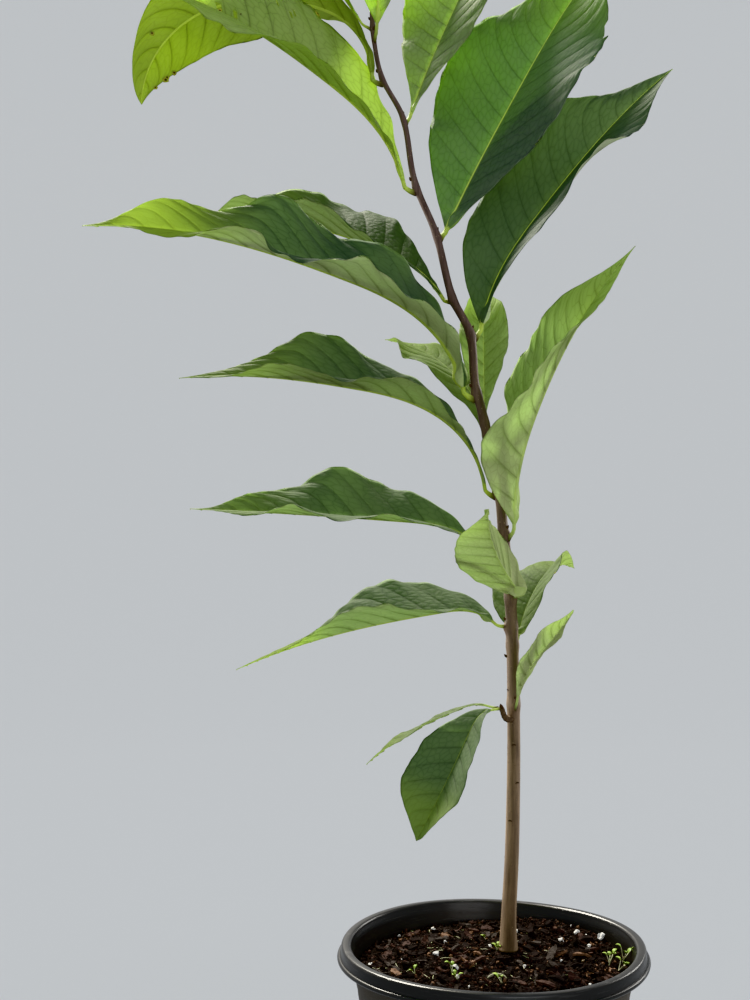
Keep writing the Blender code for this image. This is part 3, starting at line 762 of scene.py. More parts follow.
def leaf_surface(leaf, share, across, number):
    """The leaf's middle surface with margins that bulge between the side veins."""
    points = leaf_points(leaf, hugging_stalk(leaf, leaf_spine(leaf)), share, across)
    stalk = leaf_stalk_share(leaf)
    blade = smoothstep((share - stalk) / 0.1) * smoothstep((1.0 - share) / 0.45)
    order = number + np.where(across > 0.0, 0.0, 0.5)
    strength = 0.75 + 0.35 * np.sin(2.3 * order + leaf.height * 50.0)
    bulge = -0.5 * np.cos(math.tau * order) * strength
    most = leaf.scallop * SCALLOP * leaf.length / LEAF_LENGTH
    lift = most * bulge * np.abs(across) ** 5 * blade
    return points + surface_normals(points) * lift[..., None]


def torn_cells(leaf, points):
    """The cells of the leaf's grid that are torn out."""
    middle = 0.25 * (points[:-1, :-1] + points[1:, :-1] + points[1:, 1:] + points[:-1, 1:])
    px, py, _ = photo_place(middle)
    torn = np.zeros(px.shape, dtype=bool)
    for name, at_x, at_y, radius in TEARS:
        if name == leaf.name:
            torn |= np.hypot(px - at_x, py - at_y) < radius
    return torn


def make_leaf(leaf, tones):
    """One leaf: two skins that meet at the margin, with ribs, veins and quilting."""
    share, across, number, rib = leaf_grid(leaf)
    ragged = np.sin(61.0 * share + leaf.height * 40.0 + np.sign(across))
    ragged = ragged * np.sin(23.0 * share + 2.0)
    across = across * (1.0 - RAGGED * (1.0 + ragged) * across ** 2)
    points = leaf_surface(leaf, share, across, number)
    normal = surface_normals(points)
    upper, lower, vein, hollow = leaf_relief(leaf, share, across, number, rib)
    rows, columns = share.shape
    inside = np.ones((rows, columns), dtype=bool)
    inside[:, [0, -1]] = False

    def both_skins(values):
        """Values of the upper skin's points, and those of the lower skin's own points."""
        return np.concatenate([values.reshape(-1, *values.shape[2:]), values[inside]])

    top = points + normal * upper[..., None]
    top[:, [0, -1]] = points[:, [0, -1]]
    bottom = points + normal * lower[..., None]
    vertices = np.concatenate([top.reshape(-1, 3), bottom[inside]])
    top_numbers = np.arange(rows * columns).reshape(rows, columns)
    bottom_numbers = top_numbers.copy()
    bottom_numbers[inside] = rows * columns + np.arange(inside.sum())
    kept = ~torn_cells(leaf, points)
    top_faces = grid_faces(top_numbers)[:, ::-1][kept.ravel()]
    bottom_faces = grid_faces(bottom_numbers)[kept.ravel()]
    caps = torn_rims(kept, top_numbers, bottom_numbers)
    for row, ahead in ((0, -1), (rows - 1, 1)):
        for column in range(columns - 1):
            cap = [top_numbers[row, column], top_numbers[row, column + 1],
                   bottom_numbers[row, column + 1], bottom_numbers[row, column]]
            caps.append(list(dict.fromkeys(cap[::ahead])))
    stalk = leaf_stalk_share(leaf)
    row_of, column_of = np.nonzero(kept)
    near = np.abs(column_of + 0.5 - (columns - 1) // 2)
    on_stalk = share[row_of, column_of] < 1.02 * stalk
    top_slots = np.where(on_stalk | (near < 1.0), RIB_SLOT, UPPER_SLOT)
    bottom_slots = np.where(on_stalk | (near < 3.0), RIB_SLOT, UNDER_SLOT)
    slots = np.concatenate([top_slots, bottom_slots, np.full(len(caps), RIB_SLOT)])
    faces = [*top_faces.tolist(), *bottom_faces.tolist(), *caps]
    made = mesh_object(leaf.name + "_blade", vertices, faces, tones[leaf.tone], slots)
    stored = {
        "vein": vein,
        "hollow": hollow,
        "reach": np.abs(across),
        # How much of the painted tip glow each point gets
        "tip": leaf.bright * smoothstep((share - 0.58) / 0.26),
        "foot": 1.0 - smoothstep(share / (0.45 * stalk)),
    }
    for title, values in stored.items():
        point_attribute(made.data, title, both_skins(values))
    half = leaf_half_width(leaf, share)
    side = np.where(across > 0.0, 0.0, LOWER_HALF_SHIFT)
    ladder = np.stack([2.6 * number + side, np.abs(across) * half / NET_SPACING], axis=-1)
    corner_map(made.data, "venation", both_skins(ladder))
    spread = np.stack([share, 0.25 + 0.24 * across * half / (0.5 * leaf.width)], axis=-1)
    spread = np.concatenate([spread.reshape(-1, 2), spread[inside] + (0.0, 0.5)])
    corner_map(made.data, "OFBake", spread)
    if not kept.all():
        drop_loose_points(made.data)
    dress(made, leaf.name)


def torn_rims(kept, top_numbers, bottom_numbers):
    """Faces that join the two skins round what is torn out."""
    rims = []
    rows, columns = kept.shape
    for row, column in zip(*np.nonzero(~kept)):
        corners = ((row, column), (row + 1, column), (row + 1, column + 1), (row, column + 1))
        beside = ((row, column - 1), (row + 1, column), (row, column + 1), (row - 1, column))
        for edge, (next_row, next_column) in enumerate(beside):
            inner = 0 <= next_row < rows and 0 <= next_column < columns
            if inner and kept[next_row, next_column]:
                a, b = corners[edge], corners[(edge + 1) % 4]
                rim = [top_numbers[b], top_numbers[a], bottom_numbers[a], bottom_numbers[b]]
                rim = list(dict.fromkeys(int(number) for number in rim))
                if len(rim) > 2:
                    rims.append(rim)
    return rims


def drop_loose_points(mesh):
    """Take out points that no face uses."""
    shape = bmesh.new()
    shape.from_mesh(mesh)
    loose = [vertex for vertex in shape.verts if not vertex.link_faces]
    bmesh.ops.delete(shape, geom=loose, context="VERTS")
    shape.to_mesh(mesh)
    shape.free()


# Materials

class Shading:
    """A material's nodes, with short calls that add a node each and return its output."""

    def __init__(self, name):
        self.material = bpy.data.materials.new(name)
        self.material.use_nodes = True
        self.nodes = self.material.node_tree.nodes
        self.links = self.material.node_tree.links
        self.shader = self.nodes["Principled BSDF"]

    def feed(self, socket, value):
        """Link an output to a socket, or set the socket's own value."""
        if isinstance(value, bpy.types.NodeSocket):
            self.links.new(value, socket)
        elif isinstance(value, (tuple, list)) and len(value) == 3 and socket.type == "RGBA":
            socket.default_value = (*value, 1.0)
        else:
            socket.default_value = value

    def add(self, kind, output, inputs, **settings):
        """Add a node with its settings and inputs, and return one of its outputs."""
        node = self.nodes.new("ShaderNode" + kind)
        for name, value in settings.items():
            setattr(node, name, value)
        for name, value in inputs.items():
            self.feed(node.inputs[name], value)
        return node.outputs[output]

    def set(self, **values):
        """Set the Principled shader's inputs by name, with _ for spaces."""
        for name, value in values.items():
            self.feed(self.shader.inputs[name.replace("_", " ")], value)

    def spot(self, kind="Object"):
        """Where a point of the object is, or which way its surface faces."""
        return self.add("TexCoord", kind, {})

    def place(self, stretch=(1.0, 1.0, 1.0)):
        """The object's own coordinates, stretched."""
        return self.add("Mapping", "Vector", {"Scale": stretch, "Vector": self.spot()})

    def height(self):
        """How high a point of the object is."""
        return self.add("SeparateXYZ", "Z", {"Vector": self.spot()})

    def map(self, name):
        """A flat map of the mesh."""
        return self.add("UVMap", "UV", {}, uv_map=name)

    def stored(self, name):
        """A number stored at each vertex."""
        return self.add("Attribute", "Fac", {}, attribute_name=name)

    def noise(self, scale, detail=3.0, place=None, roughness=0.5):
        """A noise pattern."""
        inputs = {"Scale": scale, "Detail": detail, "Roughness": roughness}
        return self.add("TexNoise", "Fac", {**inputs, "Vector": place or self.place()})

    def streaks(self, stretch, detail, roughness=0.5):
        """A noise pattern stretched by its own scale along each axis."""
        return self.noise(1.0, detail, self.place(stretch), roughness)

    def net(self):
        """How far a point is from the fine net of veins."""
        inputs = {"Scale": 1.0, "Randomness": 0.85, "Vector": self.map("venation")}
        return self.add("TexVoronoi", "Distance", inputs, voronoi_dimensions="2D",
                        feature="DISTANCE_TO_EDGE")

    def range(self, value, low, high, to_low=0.0, to_high=1.0):
        """The value's way from low to high, eased, as a number from to_low to to_high."""
        inputs = {"From Min": low, "From Max": high, "To Min": to_low, "To Max": to_high}
        return self.add("MapRange", "Result", {**inputs, "Value": value},
                        interpolation_type="SMOOTHSTEP")

    def maths(self, operation, *numbers):
        """One sum of two or three numbers."""
        return self.add("Math", "Value", dict(enumerate(numbers)), operation=operation)

    def total(self, first, share, second, other):
        """Two heights added up, each with its own strength."""
        return self.maths("ADD", self.maths("MULTIPLY", first, share),
                          self.maths("MULTIPLY", second, other))

    def mix(self, share, first, second):
        """Two colours mixed."""
        return self.add("Mix", 2, {"Factor": share, 6: first, 7: second}, data_type="RGBA")

    def tint(self, colour, where, strength, other):
        """A colour that turns into another where a pattern says so."""
        return self.mix(self.maths("MULTIPLY", where, strength), colour, other)

    def bump(self, height, distance):
        """A bump from a height pattern."""
        return self.add("Bump", "Normal", {"Distance": distance, "Height": height})

    def glow_through(self, share, colour):
        """Let light through the surface."""
        thin = self.add("BsdfTranslucent", "BSDF", {"Color": colour})
        inputs = {"Fac": share, 1: self.shader.outputs["BSDF"], 2: thin}
        both = self.add("MixShader", "Shader", inputs)
        self.links.new(both, self.nodes["Material Output"].inputs["Surface"])


def scaled(colour, by):
    """A colour made lighter or darker."""
    return tuple(channel * by for channel in colour)


def upper_skin(name, deep, fresh, through, share):
    """The leaf's upper skin: satin and puckered, with a fine sunken net of veins."""
    s = Shading(name)
    edge, vein, tip = s.net(), s.stored("vein"), s.stored("tip")
    net = s.range(edge, 0.0, 0.07, 1.0, 0.0)
    pillow = s.range(edge, 0.0, 0.38)
    patches = s.range(s.noise(38.0, 4.0), 0.35, 0.68)
    grain = s.noise(900.0, 2.0)
    # Painted light: a thin strip at the margin is painted much paler, as a lit rim.
    margin = s.range(s.stored("reach"), 0.965, 1.0, 0.0, 0.6)
    colour = s.mix(patches, deep, fresh)
    # Partly vein colour and partly painted shade: the puckered cells are painted lighter than the
    # sunken net that creases between them.
    colour = s.tint(colour, pillow, 0.40, scaled(fresh, 1.25))
    # Painted shade: darker green beside each side vein, as shade in the dip there.
    colour = s.tint(colour, s.stored("hollow"), 0.16, scaled(deep, 0.75))
    colour = s.tint(colour, vein, 0.42, scaled(deep, 0.55))
    colour = s.mix(margin, colour, scaled(fresh, 3.0))
    # Painted glow: the tip is painted lighter and yellower, as where light shines through it.
    colour = s.tint(colour, tip, 0.7, TIP_GLOW_GREEN)
    s.set(Base_Color=colour, Roughness=s.range(grain, 0.3, 0.7, 0.66, 0.80),
          Normal=s.bump(s.total(pillow, 1.0, grain, 0.22), 0.00012), Specular_IOR_Level=0.07)
    shade = s.tint(through, net, 0.40, scaled(through, 0.42))
    shade = s.tint(shade, vein, 0.55, scaled(through, 0.38))
    shade = s.tint(shade, patches, 0.3, scaled(through, 0.8))
    shade = s.tint(shade, tip, 0.6, TIP_THROUGH)
    s.glow_through(s.maths("MULTIPLY_ADD", tip, 0.30, share), shade)
    return s.material


def under_skin(name, pale, dull, through, share):
    """The leaf's underside: matt and paler, with raised veins and a raised net."""
    s = Shading(name)
    edge, vein, tip = s.net(), s.stored("vein"), s.stored("tip")
    net = s.range(edge, 0.0, 0.10, 1.0, 0.0)
    pillow = s.range(edge, 0.0, 0.38)
    patches = s.range(s.noise(45.0, 4.0), 0.3, 0.7)
    grain = s.noise(1100.0, 2.0)
    colour = s.mix(patches, pale, dull)
    # Painted shade: darker underside beside each side vein, as shade in the dips there.
    colour = s.tint(colour, s.stored("hollow"), 0.50, scaled(dull, 0.62))
    colour = s.tint(colour, vein, 0.72, scaled(dull, 0.48))
    colour = s.tint(colour, net, 0.22, scaled(dull, 0.72))
    s.set(Base_Color=colour, Roughness=s.range(grain, 0.3, 0.7, 0.72, 0.86),
          Normal=s.bump(s.total(pillow, -1.0, grain, 0.25), 0.00024), Specular_IOR_Level=0.06)
    shade = s.tint(through, net, 0.26, scaled(through, 0.5))
    shade = s.tint(shade, vein, 0.42, scaled(through, 0.5))
    shade = s.tint(shade, tip, 0.6, TIP_THROUGH)
    s.glow_through(s.maths("MULTIPLY_ADD", tip, 0.25, share), shade)
    return s.material


def rib_skin(name, colour, worn):
    """The stalk and midrib: smooth, fleshy and yellow-green, darker at the stalk's foot."""
    s = Shading(name)
    mottle = s.range(s.noise(160.0), 0.35, 0.7)
    foot = s.stored("foot")
    s.set(Base_Color=s.mix(foot, s.mix(mottle, colour, worn), DARK_FOOT),
          Roughness=s.range(s.noise(700.0), 0.3, 0.7, 0.50, 0.64),
          Normal=s.bump(s.noise(1500.0, 2.0), 0.00006), Specular_IOR_Level=0.2)
    s.glow_through(0.38, s.mix(foot, scaled(colour, 1.6), DARK_FOOT_THROUGH))
    return s.material


def leaf_tones():
    """Upper skin, underside and rib of each kind of green."""
    tones = {}
    for kind, (deep, fresh, through, share, under, under_share) in GREENS.items():
        pale, dull, rib = under
        tones[kind] = (upper_skin(kind + "_upper", deep, fresh, through, share),
                       under_skin(kind + "_under", pale, dull, through, under_share),
                       rib_skin(kind + "_rib", *rib))
    return tones


def bark_coat():
    """Young bark: tan and ribbed low down, smooth and purple-brown above, with dark specks."""
    s = Shading("bark_coat")
    high = s.range(s.height(), 0.20, 0.50)
    streaks = s.streaks((420.0, 420.0, 38.0), 5.0, 0.6)
    patches = s.streaks((150.0, 150.0, 40.0), 3.0)
    light = s.range(streaks, 0.35, 0.68)
    colour = s.mix(high, s.mix(light, *BARK_LOW), s.mix(light, *BARK_HIGH))
    colour = s.mix(s.range(patches, 0.52, 0.75, 0.0, 0.5), colour, BARK_PATCH)
    dots = s.add("TexVoronoi", "Distance", {"Scale": 900.0, "Vector": s.place()})
    specks = s.range(dots, 0.10, 0.22, 1.0, 0.0)
    colour = s.tint(colour, specks, 0.45, BARK_SPECK)
    s.set(Base_Color=colour, Roughness=s.range(streaks, 0.3, 0.7, 0.52, 0.78),
          Normal=s.bump(s.total(streaks, 1.0, specks, -0.6), 0.00022))
    return s.material


def plain_coat(name):
    """A matt surface of two mottled colours with a fine grain."""
    colour, other, scale, roughness, depth, shine = COATS[name]
    s = Shading(name)
    mottle = s.range(s.noise(scale, 4.0), 0.35, 0.68)
    grain = s.noise(COAT_GRAIN)
    rough = s.range(grain, 0.3, 0.7, roughness - 0.08, roughness + 0.08)
    s.set(Base_Color=s.mix(mottle, colour, other), Roughness=rough, Normal=s.bump(grain, depth),
          Specular_IOR_Level=shine)
    return s.material


def pot_coat():
    """Black moulded plastic: faintly glossy, with fine scratches, and a dried dusty brown outside
    that is thickest below the lip, where it also stands for a painted warm reflection.
    """
    s = Shading("pot_coat")
    facing = s.add("VectorMath", "Value", {0: s.spot("Normal"), 1: s.spot()},
                   operation="DOT_PRODUCT")
    outside = s.range(facing, 0.0, 0.06)
    # Painted reflection in part: the outer wall just under the lip gets a thick dusty brown that
    # also stands for a warm reflection.
    below = s.range(s.height(), 0.1550, 0.1578, 0.72, 0.02)
    dirt = s.range(s.noise(34.0, 6.0, roughness=0.6), 0.30, 0.75, 0.45, 0.80)
    dust_and_reflection = s.maths("MULTIPLY", dirt, s.maths("MULTIPLY_ADD", outside, below, 0.03))
    rings = s.streaks((30.0, 30.0, 900.0), 3.0)
    scratches = s.range(s.streaks((70.0, 70.0, 2200.0), 2.0), 0.62, 0.70)
    colour = s.mix(dust_and_reflection, POT_BLACK, POT_DUST_AND_REFLECTION)
    colour = s.tint(colour, scratches, 0.25, POT_SCRATCH)
    s.set(Base_Color=colour, Roughness=s.range(dust_and_reflection, 0.0, 0.42, 0.30, 0.66),
          Normal=s.bump(s.total(rings, 0.6, scratches, -0.5), 0.00006))
    return s.material


# Wood

def bark_radius(height, angle):
    """The trunk's radius at a height and angle: swollen under each leaf, with a fine relief."""
    radius = trunk_radius(height)
    for leaf in LEAVES:
        away = (height - leaf.height + CUSHION_DROP) / CUSHION_REACH
        if leaf.carrier == "trunk" and abs(away) < 3.0:
            facing = max(0.0, math.cos(angle - math.radians(leaf.azimuth + leaf.hook)))
            radius *= 1.0 + CUSHION_SWELL * math.exp(-away * away) * facing ** 3
    place = Vector((math.cos(angle), math.sin(angle), 0.0)) * 2.6
    ribs = noise.fractal(place + Vector((0.0, 0.0, height * 26.0)), 1.0, 2.0, 4)
    grain = noise.noise(place * 3.4 + Vector((0.0, 0.0, height * 190.0)))
    return radius * (1.0 + 0.020 * ribs + 0.010 * grain)


def make_trunk(coat):
    """The trunk as rings of points with the bark's relief, closed at both ends."""
    low = TRUNK_FOOT - TRUNK_SINK
    rings = math.ceil((TRUNK_TIP - low) / BARK_STEP)
    points = []
    for ring in range(rings + 1):
        height = low + (TRUNK_TIP - low) * ring / rings
        centre = trunk_centre(height)
        tangent = trunk_tangent(height)
        first = Vector((1.0, 0.0, 0.0))
        first = (first - tangent * first.dot(tangent)).normalized()
        second = tangent.cross(first)
        for side in range(BARK_SIDES):
            angle = math.tau * side / BARK_SIDES
            out = first * math.cos(angle) + second * math.sin(angle)
            points.append(centre + out * bark_radius(height, angle))
    numbers = np.arange((rings + 1) * BARK_SIDES).reshape(rings + 1, BARK_SIDES)
    numbers = np.concatenate([numbers, numbers[:, :1]], axis=1)
    faces = grid_faces(numbers)[:, ::-1].tolist()
    faces.append(numbers[0, :-1][::-1].tolist())
    faces.append(numbers[-1, :-1].tolist())
    dress(mesh_object("trunk_bark", points, faces, [coat]), "trunk")


def tube(points, radii, sides):
    """Vertices and faces of a round tube through points, closed at both ends."""
    vertices = []
    last = len(points) - 1
    side = Vector((0.3, 0.2, 0.93))
    for index, (point, radius) in enumerate(zip(points, radii)):
        along = (points[min(last, index + 1)] - points[max(0, index - 1)]).normalized()
        side = side - along * side.dot(along)
        side.normalize()
        other = along.cross(side)
        for step in range(sides):
            angle = math.tau * step / sides
            vertices.append(point + (side * math.cos(angle) + other * math.sin(angle)) * radius)
    faces = [(a, d, c, b) for a, b, c, d in ring_quads(last, sides)]
    faces.append(tuple(reversed(range(sides))))
    faces.append(tuple(range(last * sides, (last + 1) * sides)))
    return vertices, faces


class Heap:
    """Many small closed shapes gathered into one mesh."""

    def __init__(self):
        self.vertices, self.faces, self.slots = [], [], []

    def add(self, vertices, faces, slot=0):
        """Add a shape with the number of its coat."""
        start = len(self.vertices)
        self.vertices.extend(vertices)
        self.faces.extend(tuple(number + start for number in face) for face in faces)
        self.slots.extend([slot] * len(faces))

    def place(self, name, coats, slot, smooth=True):
        """Make the mesh and fix it to the part."""
        dress(mesh_object(name, self.vertices, self.faces, coats, self.slots, smooth))


def ball(level):
    """Vertices and faces of a unit icosphere."""
    shape = bmesh.new()
    bmesh.ops.create_icosphere(shape, subdivisions=level, radius=1.0)
    vertices = [vertex.co.copy() for vertex in shape.verts]
    faces = [tuple(vertex.index for vertex in face.verts) for face in shape.faces]
    shape.free()
    return vertices, faces


def turned_frame(along, up):
    """A rotation whose Z runs along one direction and whose X is near another."""
    along = along.normalized()
    across = (up - along * up.dot(along)).normalized()
    return Matrix((across, along.cross(across), along)).transposed()


def bud_shape(place, along, radius, length):
    """A pointed bud: a ball drawn out to a tip."""
    vertices, faces = ball(3)
    turn = turned_frame(along, Vector((0.31, 0.77, 0.2)))
    shaped = []
    for vertex in vertices:
        share = 0.5 * (vertex.z + 1.0)
        slim = (1.0 - 0.75 * share ** 2) * (1.0 + 0.08 * noise.noise(vertex * 4.0))
        tall = (share ** 0.9 - 0.15) * length
        wide = (vertex.x * radius * slim, vertex.y * radius * slim)
        shaped.append(place + turn @ Vector((*wide, tall)))
    return shaped, faces


def make_buds(coat):
    """A dark bud above each leaf stalk, a bare one low on the trunk and one at the very tip."""
    heap = Heap()
    for leaf in LEAVES:
        if leaf.carrier != "trunk":
            continue
        height = leaf.height + BUD_RISE
        outward = azimuth_vector(leaf.azimuth + leaf.hook)
        place = trunk_centre(height) + outward * trunk_radius(height) * 0.97
        size = 0.55 + 0.45 * min(1.0, leaf.length / LEAF_LENGTH)
        along = outward * 0.6 + Vector((0.0, 0.0, 1.0))
        heap.add(*bud_shape(place, along, BUD_SIZE[0] * size, BUD_SIZE[1] * size))
    side = azimuth_vector(BARE_BUD_AZIMUTH)
    bare = trunk_centre(BARE_BUD_HEIGHT) + side * trunk_radius(BARE_BUD_HEIGHT)
    heap.add(*bud_shape(bare, side + Vector((0.0, 0.0, 1.1)), *BARE_BUD_SIZE))
    heap.add(*bud_shape(trunk_centre(TRUNK_TIP), trunk_tangent(TRUNK_TIP), *TIP_BUD_SIZE))
    heap.place("buds", [coat], "bark")


def make_spots(brown, halo):
    """Dry brown spots on leaves, each in a yellowed ring: flat lenses set through the blade."""
    heap = Heap()
    vertices, faces = ball(2)
    leaves = {leaf.name: leaf for leaf in LEAVES}
    for name, at_x, at_y, radius in SPOTS:
        leaf = leaves[name]
        share, across, number, _ = leaf_grid(leaf)
        points = leaf_surface(leaf, share, across, number)
        px, py, depth = photo_place(points)
        gap = np.hypot(px - at_x, py - at_y)
        near = np.where(gap < max(2.0, gap.min() + 0.1), depth, math.inf)
        spot = np.unravel_index(near.argmin(), near.shape)
        place = Vector(points[spot])
        turn = turned_frame(Vector(surface_normals(points)[spot]), Vector((0.3, 0.2, 0.9)))
        for wide, thick, slot in ((SPOT_HALO * radius, 0.00026, 1), (radius, 0.00036, 0)):
            shape = []
            for vertex in vertices:
                rough = 1.0 + 0.45 * noise.noise(vertex * 1.6 + place * 900.0)
                size = (vertex.x * wide * rough, vertex.y * wide * rough, vertex.z * thick)
                shape.append(place + turn @ Vector(size))
            heap.add(shape, faces, slot)
    heap.place("leaf_spots", [brown, halo], "leaf")


def on_bark(height, azimuth, depth=1.0):
    """A place on the trunk's bark, and a rotation with X out of it and Z along the trunk."""
    outward = azimuth_vector(azimuth)
    place = trunk_centre(height) + outward * trunk_radius(height) * depth
    return place, turned_frame(trunk_tangent(height), outward)


def make_lenticels(coat):
    """Pale pores on the bark: flat lens-shaped bumps, denser above."""
    chance = random.Random(LENTICEL_SEED)
    heap = Heap()
    vertices, faces = ball(1)
    for _ in range(LENTICELS):
        height = TRUNK_FOOT + 0.01 + (TRUNK_TIP - TRUNK_FOOT - 0.02) * chance.random() ** 0.8
        place, turn = on_bark(height, chance.uniform(0.0, 360.0))
        wide = chance.uniform(*LENTICEL_WIDTHS)
        tall = wide * chance.uniform(1.1, 2.2)
        shaped = [Vector((v.x * LENTICEL_THICK, v.y * wide, v.z * tall)) for v in vertices]
        heap.add([place + turn @ vertex for vertex in shaped], faces)
    heap.place("lenticels", [coat], "bark")


def make_scars(coat):
    """Old leaf scars on the lower trunk: dark shallow crescents."""
    heap = Heap()
    vertices, faces = ball(2)
    for height, azimuth in SCARS:
        place, turn = on_bark(height, azimuth, 0.985)
        thick, wide, tall = SCAR_SIZE
        shaped = []
        for v in vertices:
            drop = SCAR_DROOP * v.y * v.y
            shaped.append(place + turn @ Vector((v.x * thick, v.y * wide, v.z * tall - drop)))
        heap.add(shaped, faces)
    heap.place("leaf_scars", [coat], "bark")


def make_spur(coat, bud_coat):
    """The spur: a short ringed twig that ends in a bud."""
    line = spur_points()
    line.insert(0, line[0] - (line[1] - line[0]).normalized() * SPUR_SINK)
    last = len(line) - 1
    points, radii = [], []
    for index in range(last):
        for step in range(SPUR_STEPS):
            share = step / SPUR_STEPS
            points.append(line[index].lerp(line[index + 1], share))
            along = (index + share) / last
            rings = 1.0 + 0.10 * max(0.0, math.sin(along * 44.0)) ** 6
            foot = 0.35 * math.exp(-along / 0.12)
            radii.append(SPUR_RADIUS * (1.12 - 0.2 * along + foot) * rings)
    dress(mesh_object("spur_bark", *tube(points, radii, 20), [coat]), "spur")
    heap = Heap()
    way = (line[-1] - line[-2]).normalized()
    heap.add(*bud_shape(points[-1] - way * 0.0004, way, *SPUR_BUD_SIZE))
    heap.place("spur_bud", [bud_coat], "bark")


# Pot and potting mix

def pot_wall_radius(height):
    """The pot's outer radius below its lip: a straight taper that flares at the shoulder."""
    flare = max(0.0, (height - POT_HEIGHT) / POT_SHOULDER + 1.0)
    return POT_FOOT_RADIUS + POT_TAPER * height + POT_SHOULDER_FLARE * flare ** 1.5


def arc(centre, radius, start, end, steps):
    """Points of an arc, angles in degrees from the +X axis."""
    spots = []
    for step in range(steps + 1):
        angle = math.radians(start + (end - start) * step / steps)
        spots.append((centre[0] + radius * math.cos(angle), centre[1] + radius * math.sin(angle)))
    return spots


def pot_profile():
    """The pot's section from the middle of its floor, up inside, over the lip and down outside."""
    top, lip, wall, corner = POT_HEIGHT, POT_LIP_RADIUS, POT_WALL, POT_CORNER
    foot = pot_wall_radius(0.0)
    inside = pot_wall_radius(top) - wall
    under = top - 0.0030
    profile = [(0.0, wall), (POT_FLOOR_RING, wall)]
    profile += arc((foot - wall - corner, wall + corner), corner, -90, -2, 8)
    profile += [(pot_wall_radius(z) - wall - 0.00012 * math.sin(z * 900.0), z)
                for z in np.linspace(wall + 2 * corner, top - 0.003, 52)]
    profile += arc((inside + 0.0020, top - 0.0020), 0.0020, 178, 92, 7)
    profile += arc((lip - 0.0038, top - 0.0016), 0.0016, 80, 8, 6)
    profile += [(lip - 0.00195, top - 0.0030), (lip - 0.0019, top - 0.0044)]
    profile += arc((lip - 0.0013, top - 0.0070), 0.0013, 100, -150, 12)
    profile += [(lip - 0.0030, top - 0.0068), (lip - 0.0038, top - 0.0050), (lip - 0.0050, under)]
    profile += [(pot_wall_radius(under) + 0.0006, under - 0.0002)]
    profile += [(pot_wall_radius(z) + 0.00010 * math.sin(z * 700.0), z)
                for z in np.linspace(under - 0.001, corner, 56)]
    profile += arc((foot - corner, corner), corner, -2, -80, 8)
    return profile + [(foot - corner, 0.0), (POT_FLOOR_RING, 0.0), (0.0, 0.0)]


def make_pot(coat):
    """The pot: its section turned, a lip that is not quite true, and drain holes cut low down."""
    profile = pot_profile()
    ring = profile[1:-1]
    count = len(ring)
    vertices = [(0.0, 0.0, profile[0][1]), (0.0, 0.0, profile[-1][1])]
    for side in range(POT_SIDES):
        angle = math.tau * side / POT_SIDES
        for radius, z in ring:
            slack = smoothstep((z - 0.120) / 0.045)
            out = 1.0 + POT_WARP * slack * math.sin(2.0 * angle + 0.7)
            out += 0.0012 * slack * math.sin(5.0 * angle)
            lift = 0.0006 * slack * math.sin(3.0 * angle + 1.1)
            x, y = math.cos(angle) * radius * out, math.sin(angle) * radius * out
            vertices.append((x, y, z + lift))
    faces = []
    for side in range(POT_SIDES):
        here, there = 2 + side * count, 2 + (side + 1) % POT_SIDES * count
        faces.append((0, here, there))
        for step in range(count - 1):
            faces.append((here + step, here + step + 1, there + step + 1, there + step))
        faces.append((1, there + count - 1, here + count - 1))
    pot = mesh_object("pot_shell", vertices, faces, [coat])
    for hole in range(DRAIN_HOLES):
        cut_drain(pot, math.tau * (hole + 0.5) / DRAIN_HOLES)
    pot.data.set_sharp_from_angle(angle=math.radians(50.0))
    dress(pot, "pot")


def cut_drain(pot, angle):
    """Cut one drain hole through the pot's wall."""
    shape = bmesh.new()
    bmesh.ops.create_cone(shape, cap_ends=True, segments=32, radius1=DRAIN_RADIUS,
                          radius2=DRAIN_RADIUS, depth=DRAIN_DEPTH)
    mesh = bpy.data.meshes.new("drain_cutter")
    shape.to_mesh(mesh)
    shape.free()
    cutter = bpy.data.objects.new("drain_cutter", mesh)
    bpy.context.scene.collection.objects.link(cutter)
    cutter.location = azimuth_vector(math.degrees(angle)) * POT_FOOT_RADIUS
    cutter.location.z = DRAIN_HEIGHT
    cutter.rotation_euler = (0.0, 0.5 * math.pi, angle)
    cut = pot.modifiers.new("Drain", "BOOLEAN")
    cut.operation = "DIFFERENCE"
    cut.object = cutter
    bpy.context.view_layer.update()
    seen = pot.evaluated_get(bpy.context.evaluated_depsgraph_get())
    done = bpy.data.meshes.new_from_object(seen)
    pot.modifiers.clear()
    pot.data = done
    bpy.data.objects.remove(cutter, do_unlink=True)


def soil_height(x, y):
    """The mix's height at a place: crowned, lumpy, and heaped against the pot at the back right."""
    radius = math.hypot(x, y)
    crown = float(smoothstep((radius - 0.034) / 0.042))
    crown = SOIL_HEIGHT + (SOIL_EDGE_HEIGHT - SOIL_HEIGHT) * crown
    turn = math.degrees(math.atan2(y, x)) - SOIL_HEAP_WAY
    outer = smoothstep((radius - 0.042) / 0.030)
    crown += SOIL_HEAP * float(bell(turn / SOIL_HEAP_SPREAD) * outer)
    place = Vector((x, y, 0.37))
    lumps = 0.0011 * noise.noise(place * 70.0) + 0.0007 * noise.noise(place * 190.0)
    crumbs = 0.0004 * noise.noise(place * 520.0) + 0.0002 * noise.noise(place * 1400.0)
    return crown - SOIL_SINK + lumps + crumbs


